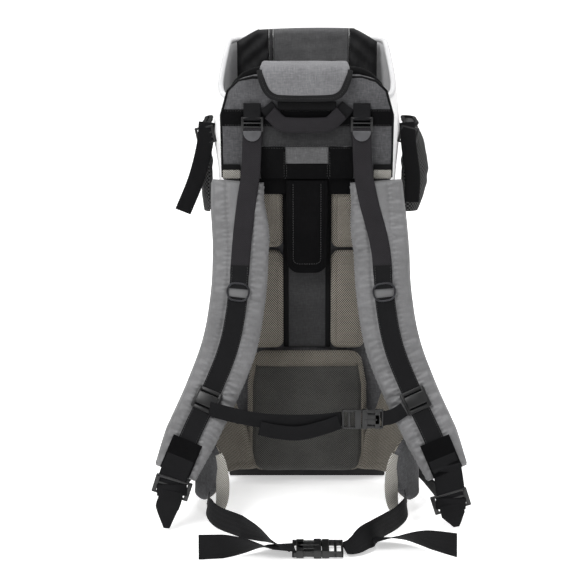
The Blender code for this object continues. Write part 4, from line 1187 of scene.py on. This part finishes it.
def chin_pad():
    """The heather pad hooked over the frame's arch, bound in black down its sides and along its bottom."""
    route = smooth_path([(0, -0.0575, 0.6645), (0, -0.0578, 0.6900), (0, -0.0560, 0.7045),
                         (0, -0.0440, 0.7135),
                         (0, -0.0100, 0.7152), (0, 0.0200, 0.7145), (0, 0.0305, 0.7060), (0, 0.0318, 0.6900),
                         (0, 0.0318, 0.6310)], 130)
    run = run_length(route)
    route[:, 0] -= 0.0035
    half = np.interp(run, [0, 0.010, 0.022, 0.040, 0.060, 0.100, run[-1]],
                     [0.0560, 0.0590, 0.0640, 0.0695, 0.0725, 0.0715, 0.0690])
    half = half - 0.014 * (1 - np.sqrt(1 - np.clip(1 - run / 0.014, 0, 1) ** 2))
    swell = lambda s, r: 0.0028 * (1 - s ** 2) * gauss(r, 0.028, 0.035) + 0.0005 * ripple(s * 0.07, r, 0.04,
                                                                                          111)
    pad = quilt("chin_pad_cloth", route, half, 0.0048, 0.0042, HEATHER_LIGHT, (1, 0, 0), (0, 0, 1), 0.0055,
                0.006, 60, swell)
    put(pad, nodes=["chin_pad"])
    edge = [(0.0722, -0.0520, 0.7125), (0.0700, -0.0615, 0.7010), (0.0655, -0.0637, 0.6890),
            (0.0600, -0.0640, 0.6790),
            (0.0510, -0.0638, 0.6722), (0.0380, -0.0636, 0.6694), (0.0, -0.0640, 0.6688)]
    line = smooth_path(edge + [(-x, y, z) for x, y, z in edge[:-1][::-1]], 110) + np.array([-0.0035, 0, 0])
    across = np.cross(tangents(line), np.array([0, -1.0, 0]))
    put(band("chin_pad_binding", line, across, 0.0105, BINDING, 0.0024, crown=0.0008))
    put(stitches("chin_pad_stitching", [line + np.array([0, -0.0017, 0])], THREAD_DARK))
    under = np.stack([np.linspace(-0.047, 0.047, 40), np.full(40, -0.0555), np.full(40, 0.6560)], 1)
    put(band("chin_pad_strip", under, (0, 0, 1), 0.014, ELASTIC, 0.0020))


def grab_handle():
    """The haul loop: charcoal webbing, sewn at both ends in slanting tabs."""
    half = [(-0.0580, -0.0568, 0.6450), (-0.0530, -0.0575, 0.6405), (-0.0460, -0.0590, 0.6335),
            (-0.0385, -0.0605, 0.6280),
            (-0.0290, -0.0618, 0.6262), (0.0, -0.0625, 0.6255)]
    route = smooth_path(half + [(-x, y, z) for x, y, z in half[:-1][::-1]], 80) + np.array([-0.002, 0, 0])
    facing = np.cross(tangents(route), np.array([0, -1.0, 0]))
    loop = band("grab_handle_web", route, facing, 0.0245, CHARCOAL_WEB, 0.0030, crown=0.0014)
    put(loop, "handle", ["grab_handle"])
    for side, tag in SIDES:
        tab = np.array([(side * 0.066, -0.0540, 0.6560), (side * 0.058, -0.0545, 0.6460),
                        (side * 0.050, -0.0550, 0.6370)])
        tab = smooth_path(tab, 20)
        across = np.cross(tangents(tab), np.array([0, -1.0, 0]))
        put(band("handle_tab_" + tag, tab, across, 0.024, WEBBING, 0.0016))


# ---------------------------------------------------------------- shoulder harness
def shoulder_pads():
    """Padded straps with a scalloped inner seam, gathered cloth beside the webbing, and the webbing."""
    path, halves, along, across, out = pad_line(330)
    for side, tag in SIDES:
        flip = np.array([side, 1, 1])

        def gather(s, run, seed=120 + side):
            """Puckers 13 mm apart by the inner edge, finer ones by the webbing, grooves along its edges."""
            phase = run * math.tau / 0.013 + 1.4 * ripple(s * 0.03, run, 0.07, seed)
            fine = run * math.tau / 0.008 + 1.7 * ripple(s * 0.03, run, 0.05, seed + 3)
            folds = ripple(s * 0.016, run, 0.030, seed + 7) * (0.35 + 0.65 * np.abs(s))
            return (0.0020 * (1 - s ** 2) + 0.0019 * np.sin(phase) * gauss(s, -0.84, 0.24)
                    + 0.0010 * np.sin(fine) * gauss(np.abs(s), 0.50, 0.12)
                    + 0.0013 * np.sin(phase * 0.62 + 1.1) * gauss(s, 0.80, 0.24)
                    - 0.0020 * gauss(np.abs(s), 0.42, 0.05) + 0.0030 * folds)

        pad = quilt("shoulder_pad_cloth_" + tag, leaned(path * flip), halves, PAD_T / 2, PAD_T / 2,
                    STRAP_CLOTH, across * flip,
                    out[165] * flip, 0.0085, 0.012, 56, gather, BEIGE_MESH)
        put(pad, None, ["shoulder_pad_" + tag])
        group = [pad]
        edge, _, _ = pad_track(side, -0.985, -PAD_T / 2 + 0.0010, 0.528, 0.092, 240)
        scallop = 0.0017 + 0.0004 * np.sin(run_length(edge) * math.tau / 0.009)
        group.append(cable("inner_piping_" + tag, edge, scallop, STRAP_CLOTH, 8))
        edge, _, _ = pad_track(side, 0.985, -PAD_T / 2 + 0.0010, 0.528, 0.092, 160)
        group.append(cable("outer_piping_" + tag, edge, 0.0016, STRAP_CLOTH, 8))
        for name, high, low, width, lift, mat in (("pad_web_", 0.353, 0.094, 0.032, 0.0034, WEBBING),
                                                  ("ring_web_", 0.402, 0.366, 0.030, 0.0046, WEBBING),
                                                  ("pad_end_patch_", 0.136, 0.090, 0.050, 0.0052,
                                                   BLACK_CLOTH)):
            line, w, n = pad_track(side, 0.0, lift, high, low, 90)
            group.append(band(name + tag, line, w, width, mat, WEB_T))
        lines = []
        for share in (-0.33, 0.33):
            line, w, n = pad_track(side, share, 0.0042, 0.350, 0.136, 120)
            lines.append(line)
        for share in (-0.28, 0.28):
            line, w, n = pad_track(side, share, 0.0062, 0.400, 0.370, 20)
            lines.append(line)
        group.append(stitches("pad_stitching_" + tag, lines, THREAD_DARK, (0, -1, 0.3), 0.0040))
        for piece in group:
            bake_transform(piece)


def load_lifters():
    """Ladder-locks on the cover, their half-moon thumb tabs, and the straps down to the pads."""
    for side, tag in SIDES:
        word = "left" if side < 0 else "right"
        place = Matrix.Translation((side * 0.0885, -0.0572, 0.6262))
        put(ladder("lifter_lock_" + tag, place, 0.036, 0.024), "lifter_lock_" + word,
            ["lifter_buckle_" + tag])
        t = np.linspace(0, 0.985, 16)
        tab = np.stack([np.full(16, side * 0.0885), -0.0605 - 0.0035 * t, 0.6160 - 0.0165 * t], 1)
        put(band("lifter_tab_" + tag, tab, (1, 0, 0), 0.030 * np.sqrt(1 - t ** 2), ACETAL_GREY, 0.0022),
            "lifter_lock_" + word)
        anchor = smooth_path([(side * 0.0885, -0.0545, 0.6600), (side * 0.0885, -0.0556, 0.6450),
                              (side * 0.0885, -0.0585, 0.6390), (side * 0.0885, -0.0600, 0.6330)], 24)
        put(band("lifter_anchor_" + tag, anchor, (1, 0, 0), 0.028, WEBBING))
        line, _, _ = pad_track(side, 0.0, 0.0040, 0.500, 0.388, 5)
        shift = np.array([-0.0150, -0.0083, -0.003, -0.001, 0])[:, None] * np.array([side, 0, 0])
        route = np.vstack([[(side * 0.0885, -0.0590, 0.6200), (side * 0.0888, -0.0610, 0.5980),
                            (side * 0.0915, -0.0700, 0.5480)], line + shift])
        path = smooth_path(route, 90)
        piece = band("lifter_web_" + tag, path, (1, 0, 0), 0.031, CHARCOAL_WEB, WEB_T)
        put(piece, None, ["lifter_strap_" + tag])
        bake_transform(piece)
        ring_place = pad_frame(0.362, side, 0.0052)
        loop = []
        for a in np.linspace(0, math.tau, 60, endpoint=False):
            x = 0.0175 * np.sign(math.cos(a)) * abs(math.cos(a)) ** 0.6
            z = 0.0130 * math.sin(a) if math.sin(a) > 0 else 0.0150 * math.sin(a)
            loop.append(tuple(ring_place @ Vector((x, 0, z))))
        put(cable("d_ring_wire_" + tag, loop, 0.0016, DARK_STEEL, 12, True), "ring_" + word,
            ["d_ring_" + tag])


def sternum():
    """Sliders on the pads, the chest strap with its loose tail, and the small side-release buckle."""
    for side, tag in SIDES:
        place = pad_frame(0.192, side, 0.0030)
        bits = [rounded_bar("b", (-0.0200, 0.0, -0.0185), (0.0200, 0.0040, -0.0125), ACETAL, 0.0014, place),
                rounded_bar("b", (-0.0200, 0.0, 0.0125), (0.0200, 0.0040, 0.0185), ACETAL, 0.0014, place),
                rounded_bar("b", (-0.0205, 0.0, -0.0180), (-0.0150, 0.0052, 0.0180), ACETAL, 0.0014, place),
                rounded_bar("b", (0.0150, 0.0, -0.0180), (0.0205, 0.0052, 0.0180), ACETAL, 0.0014, place),
                rounded_bar("b", (-0.0170, 0.0030, -0.0100), (0.0170, 0.0072, 0.0100), ACETAL, 0.0018, place)]
        put(join("chest_slider_" + tag, bits), nodes=["sternum_slider_" + tag])
    left = strap("chest_strap_L", [(-0.1560, -0.1960, 0.1900), (-0.1430, -0.1995, 0.1870), (-0.110, -0.2005,
                                                                                            0.1785),
                                   (-0.060, -0.2015, 0.1705), (0.010, -0.2012, 0.1695),
                                   (0.0560, -0.2000, 0.1740)],
                 (0, 0, 1), 0.025, WEBBING, None, ["sternum_strap_L"], 90)
    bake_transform(left)
    strap("chest_strap_R", [(0.1180, -0.2000, 0.1740), (0.1375, -0.2000, 0.1785), (0.1560, -0.1960, 0.1890)],
          (0, 0, 1), 0.025, WEBBING, "carrier", ["sternum_strap_R"], 30)
    tail = strap("chest_tail", [(0.0520, -0.2040, 0.1700), (0.0260, -0.2065, 0.1610),
                                (-0.0120, -0.2075, 0.1520),
                                (-0.0480, -0.2065, 0.1540), (-0.0760, -0.2050, 0.1600)],
                 (0.1, 0, 1), 0.024, WEBBING, None, (), 60)
    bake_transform(tail)
    side_release("sternum", (0.0880, -0.2000, 0.1740), -1, 0.034, 0.032, 0.032, 0.0096, 0.0)
    side_release("hip", (0.0220, -0.3280, 0.0075), 1, 0.045, 0.034, 0.048, 0.0126, math.pi / 2)


def lower_adjusters():
    """Ladder-locks at the pads' lower ends, the webs to the frame, and short pointed tails."""
    for side, tag in SIDES:
        centre = np.array(LOCKS[tag])
        place = Matrix.Translation(centre) @ Matrix.Rotation(math.radians(-18 * side), 4, "Y")
        put(ladder("lower_lock_" + tag, place, 0.060, 0.031, 0.0070), nodes=["lower_adjuster_" + tag])
        end, _, _ = pad_track(side, 0.0, 0.0056, 0.112, 0.092, 4)
        feed = smooth_path(np.vstack([end, [centre + (0, -0.0010, 0.010), centre + (0, -0.0002, -0.004)]]),
                           40)
        put(band("adjuster_feed_" + tag, feed, (1, 0, 0), 0.046, WEBBING))
        keeper = np.array([centre + (side * x, -0.0030, -0.0035) for x in (-0.024, 0.0, 0.024)])
        put(band("adjuster_wrap_" + tag, keeper, (0, 0, 1), 0.020, WEBBING, 0.0030))
        base = np.array([(0.2235, -0.2265, 0.0440), (0.2180, -0.200, 0.038), (0.206, -0.130, 0.036),
                         (0.184, -0.065, 0.040), (0.155, -0.030, 0.046), (0.1375, -0.0245, 0.050)])
        base = base * np.array([side, 1, 1])
        follow = np.array([1.0, 0.85, 0.4, 0.1, 0.0, 0.0])
        base[:, 0] += (centre[0] - side * 0.2220) * follow
        base[:, 2] += (centre[2] - 0.0600) * follow
        strap("lower_strap_" + tag, base, (0, 0, 1), 0.025, WEBBING, "carrier",
              ["lower_web_" + tag])
        t = np.linspace(0, 1, 50)
        drop = np.array([(0.0, -0.0040, -0.004), (side * 0.004, -0.0055, -0.020),
                         (side * 0.008, -0.0050, -0.034),
                         (side * 0.010, -0.0040, 0.0045 - centre[2])])
        path = smooth_path(centre + drop, 50)
        width = np.where(t < 0.45, 0.038, 0.038 - 0.028 * (t - 0.45) / 0.55)
        tail = band("lower_tail_" + tag, path, (1, 0, 0), width, WEBBING)
        put(tail)


# ---------------------------------------------------------------- hip belt
def hip_wings():
    """Padded wings: brown mesh towards the wearer, grey cloth outside, a bright strip at the D-shaped tip."""
    plan = smooth_path([(0.1075, -0.0400, 0), (0.134, -0.0480, 0), (0.161, -0.0750, 0), (0.177, -0.115, 0),
                        (0.176, -0.150, 0), (0.160, -0.177, 0), (0.142, -0.196, 0)], 120)
    share = run_length(plan) / run_length(plan)[-1]
    top = 0.205 - 0.068 * share ** 0.8 - 0.023 * share ** 4
    bottom = 0.022 - 0.006 * share ** 2
    half = (top - bottom) / 2
    tip = np.clip((share - 0.84) / 0.16, 0, 1)
    half = half * np.maximum(0.22, np.sqrt(1 - 0.94 * tip ** 2.4))
    for side, tag in SIDES:
        route = plan * np.array([side, 1, 1])
        route[:, 2] = (top + bottom) / 2
        dimple = lambda s, r: (0.0016 * (1 - s ** 2) - 0.0014 * gauss(np.abs(s), 0.80, 0.05)
                               + 0.0008 * ripple(s * 0.07, r, 0.05, 131))
        pad = quilt("hip_wing_pad_" + tag, route, half, 0.0075, 0.0072, SIDE_MESH, (0, 0, 1), (-side, 0, 0),
                    0.0072,
                    0.006, 60, dimple, HEATHER)
        put(pad, nodes=["hip_wing_" + tag])
        tilt = np.linspace(-0.90, 0.90, 40)
        reach = np.sqrt(1 - tilt ** 2)
        strip = np.stack([side * (0.1480 - 0.0120 * reach), -0.1930 - 0.0125 * reach,
                          0.0655 + 0.052 * tilt], 1)
        put(band("wing_strip_" + tag, strip, (1, 0.75 * side, 0), 0.008 + 0.020 * reach, BRIGHT_MESH,
                 0.0030, crown=0.0030))


def hip_belt():
    """The waist webbing: on its edge beside the wings, turning flat at the buckle, with two loose tails."""
    up, flat = (0.1, 0, 1), (0, -1, 0.1)
    strap("hip_web_L", [(-0.1600, -0.2050, 0.0400), (-0.1580, -0.2200, 0.0300), (-0.1430, -0.2400, 0.0220),
                        (-0.108, -0.2720, 0.0215), (-0.070, -0.3040, 0.0200), (-0.044, -0.3230, 0.0110),
                        (-0.0235, -0.3280, 0.0075)],
          [up, up, up, up, (0, -0.5, 1), (0, -1, 0.5), flat], 0.038, WEBBING, "carrier", ["hip_strap_L"],
          130)
    right = strap("hip_web_R", [(0.1600, -0.2050, 0.0440), (0.1580, -0.2240, 0.0310),
                                (0.1440, -0.2430, 0.0225), (0.121, -0.2720, 0.0215),
                                (0.098, -0.3040, 0.0200), (0.076, -0.3230, 0.0110),
                                (0.0575, -0.3280, 0.0075)],
                  [(-0.1, 0, 1)] * 4 + [(0, 0.5, 1), (0, 1, 0.5), (0, 1, 0.1)],
                  0.038, WEBBING, None, ["hip_strap_R"], 130)
    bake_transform(right)
    strap("hip_tail_L", [(-0.0200, -0.3340, 0.0120), (-0.055, -0.3400, 0.0155), (-0.105, -0.3480, 0.0205),
                         (-0.166, -0.3540, 0.0215)],
          [flat, (0, -1, 0.25), (0, -0.55, 0.8), (0, 0, 1), (0, 0.1, 1)],
          0.040, WEBBING, "carrier", (), 80)
    strap("hip_tail_R", [(0.103, -0.3060, 0.0120), (0.138, -0.3080, 0.0165), (0.182, -0.3230, 0.0208),
                         (0.230, -0.3480, 0.0220)],
          [(0, -1, 0.2), (0, -0.8, 0.5), (0, -0.35, 0.9), (0, 0, 1)],
          0.040, WEBBING, "carrier", (), 80)


# ---------------------------------------------------------------- side pockets and straps
def side_pockets():
    """Net pouches that sag outwards, with an elastic mouth, and the side straps with their ladder-locks."""
    for side, tag, deep in ((-1, "L", 0.018), (1, "R", 0.044)):
        t = np.linspace(0, 1, 50)
        z = 0.4555 + 0.149 * t
        belly = deep * (0.35 + 0.62 * np.sin(np.pi * np.clip(t * 0.86 + 0.10, 0, 1)) ** 0.8)
        angles = np.arange(72) * math.tau / 72
        c, s = np.cos(angles), np.sin(angles)
        rows, coords = [], []
        for zi, b in zip(z, belly):
            y = 0.1175 + 0.0465 * np.sign(c) * np.abs(c) ** 0.55
            x = 0.1672 + b * np.maximum(0, np.sign(s) * np.abs(s) ** 0.6) + 0.0016 * ripple(c * 0.05,
                                                                                            zi + 0 * c,
                                                                                            0.035, 141)
            rows.append(np.stack([side * x, y, np.full(72, zi)], 1))
            coords.append(np.stack([angles * 0.03, np.full(72, zi)], 1))
        pouch = shell("side_net_" + tag, np.array(rows), NET, np.array(coords))
        put(pouch, nodes=["side_pocket_" + tag])
        top = rows[-1] + np.array([0, 0, 0.0006])
        put(cable("pocket_elastic_" + tag, top, 0.0034, ELASTIC, 10, True))
        lock = Matrix.Translation((side * 0.1720, 0.0600,
                                   0.5900)) @ Matrix.Rotation(math.radians(12 * side), 4, "Y")
        put(ladder("side_lock_" + tag, lock, 0.032, 0.030))
    strap("side_strap_L", [(-0.1690, 0.0590, 0.6120), (-0.1740, 0.0560, 0.5700), (-0.1890, 0.0530, 0.5150),
                           (-0.2120, 0.0480, 0.4600)], (1, 0.15, 0), 0.028, WEBBING, "carrier", ())
    strap("side_strap_R", [(0.1690, 0.0590, 0.6120), (0.1730, 0.0560, 0.5700), (0.1800, 0.0550, 0.5200),
                           (0.1790, 0.0560, 0.4750)], (1, 0, 0), 0.026, WEBBING, "carrier", ())


# ---------------------------------------------------------------- room, light and camera
def studio():
    """A pale sweep under and behind the carrier, soft boxes above and in front, and the camera."""
    bend = np.linspace(0.1, math.pi / 2, 12)
    ys = np.concatenate([np.linspace(-SWEEP_HALF, 4.0, 12), 4.0 + 2.0 * np.sin(bend), [6.0]])
    zs = np.concatenate([np.zeros(12), 2.0 - 2.0 * np.cos(bend), [9.0]])
    xs = np.array([-SWEEP_HALF, SWEEP_HALF])
    grid = np.array([[(x, y, z) for x in xs] for y, z in zip(ys, zs)])
    sweep = Graph("studio_sweep", rough=0.95, sheen=0.0, spec=0.1)
    grain = sweep.noise(sweep.place("object"), 6.0, 2.0)
    sweep.finish(sweep.ramp(grain, [(0.0, "#f8f8f8"), (1.0, "#fbfbfb")]))
    sweep.shader.inputs["Emission Color"].default_value = (1, 1, 1, 1)
    sweep.shader.inputs["Emission Strength"].default_value = 0.45
    floor = shell("studio_floor", grid, sweep.mat, grid[:, :, :2], closed=False)
    floor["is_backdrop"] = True
    world = bpy.data.worlds.new("studio_world")
    bpy.context.scene.world = world
    world.use_nodes = True
    world.node_tree.nodes["Background"].inputs["Color"].default_value = (1, 1, 1, 1)
    world.node_tree.nodes["Background"].inputs["Strength"].default_value = 0.46
    for name, where, size, power in (("key", (-1.3, -1.8, 2.6), 1.3, 52), ("fill", (2.0, -1.6, 1.5), 2.0, 9),
                                     ("top", (0.1, 0.3, 2.8), 1.8, 46)):
        lamp = bpy.data.lights.new(name + "_box", "AREA")
        lamp.size = size
        lamp.energy = power
        box = bpy.data.objects.new(name + "_box", lamp)
        box.location = where
        box.rotation_euler = (Vector((0, -0.05, 0.35)) - Vector(where)).to_track_quat("-Z", "Y").to_euler()
        bpy.context.scene.collection.objects.link(box)
    view = bpy.data.cameras.new("studio_camera")
    view.sensor_width = 36
    view.lens = 94.9
    view.shift_x = -0.0293
    lens = bpy.data.objects.new("studio_camera", view)
    rise = CAMERA_RANGE * math.sin(CAMERA_TILT)
    lens.location = (0, -CAMERA_RANGE * math.cos(CAMERA_TILT), CAMERA_AIM + rise)
    lens.rotation_euler = (math.pi / 2 - CAMERA_TILT, 0, 0)
    bpy.context.scene.collection.objects.link(lens)
    bpy.context.scene.camera = lens
    bpy.context.scene.view_settings.view_transform = "Standard"


studio()
frame_tubes()
kickstand()
carried_nodes()
pod()
seat()
headrest()
child_harness()
storage_bag()
back_panel()
yoke()
back_pads()
lumbar()
chin_pad()
grab_handle()
shoulder_pads()
load_lifters()
sternum()
lower_adjusters()
hip_wings()
hip_belt()
side_pockets()
write_size("final")
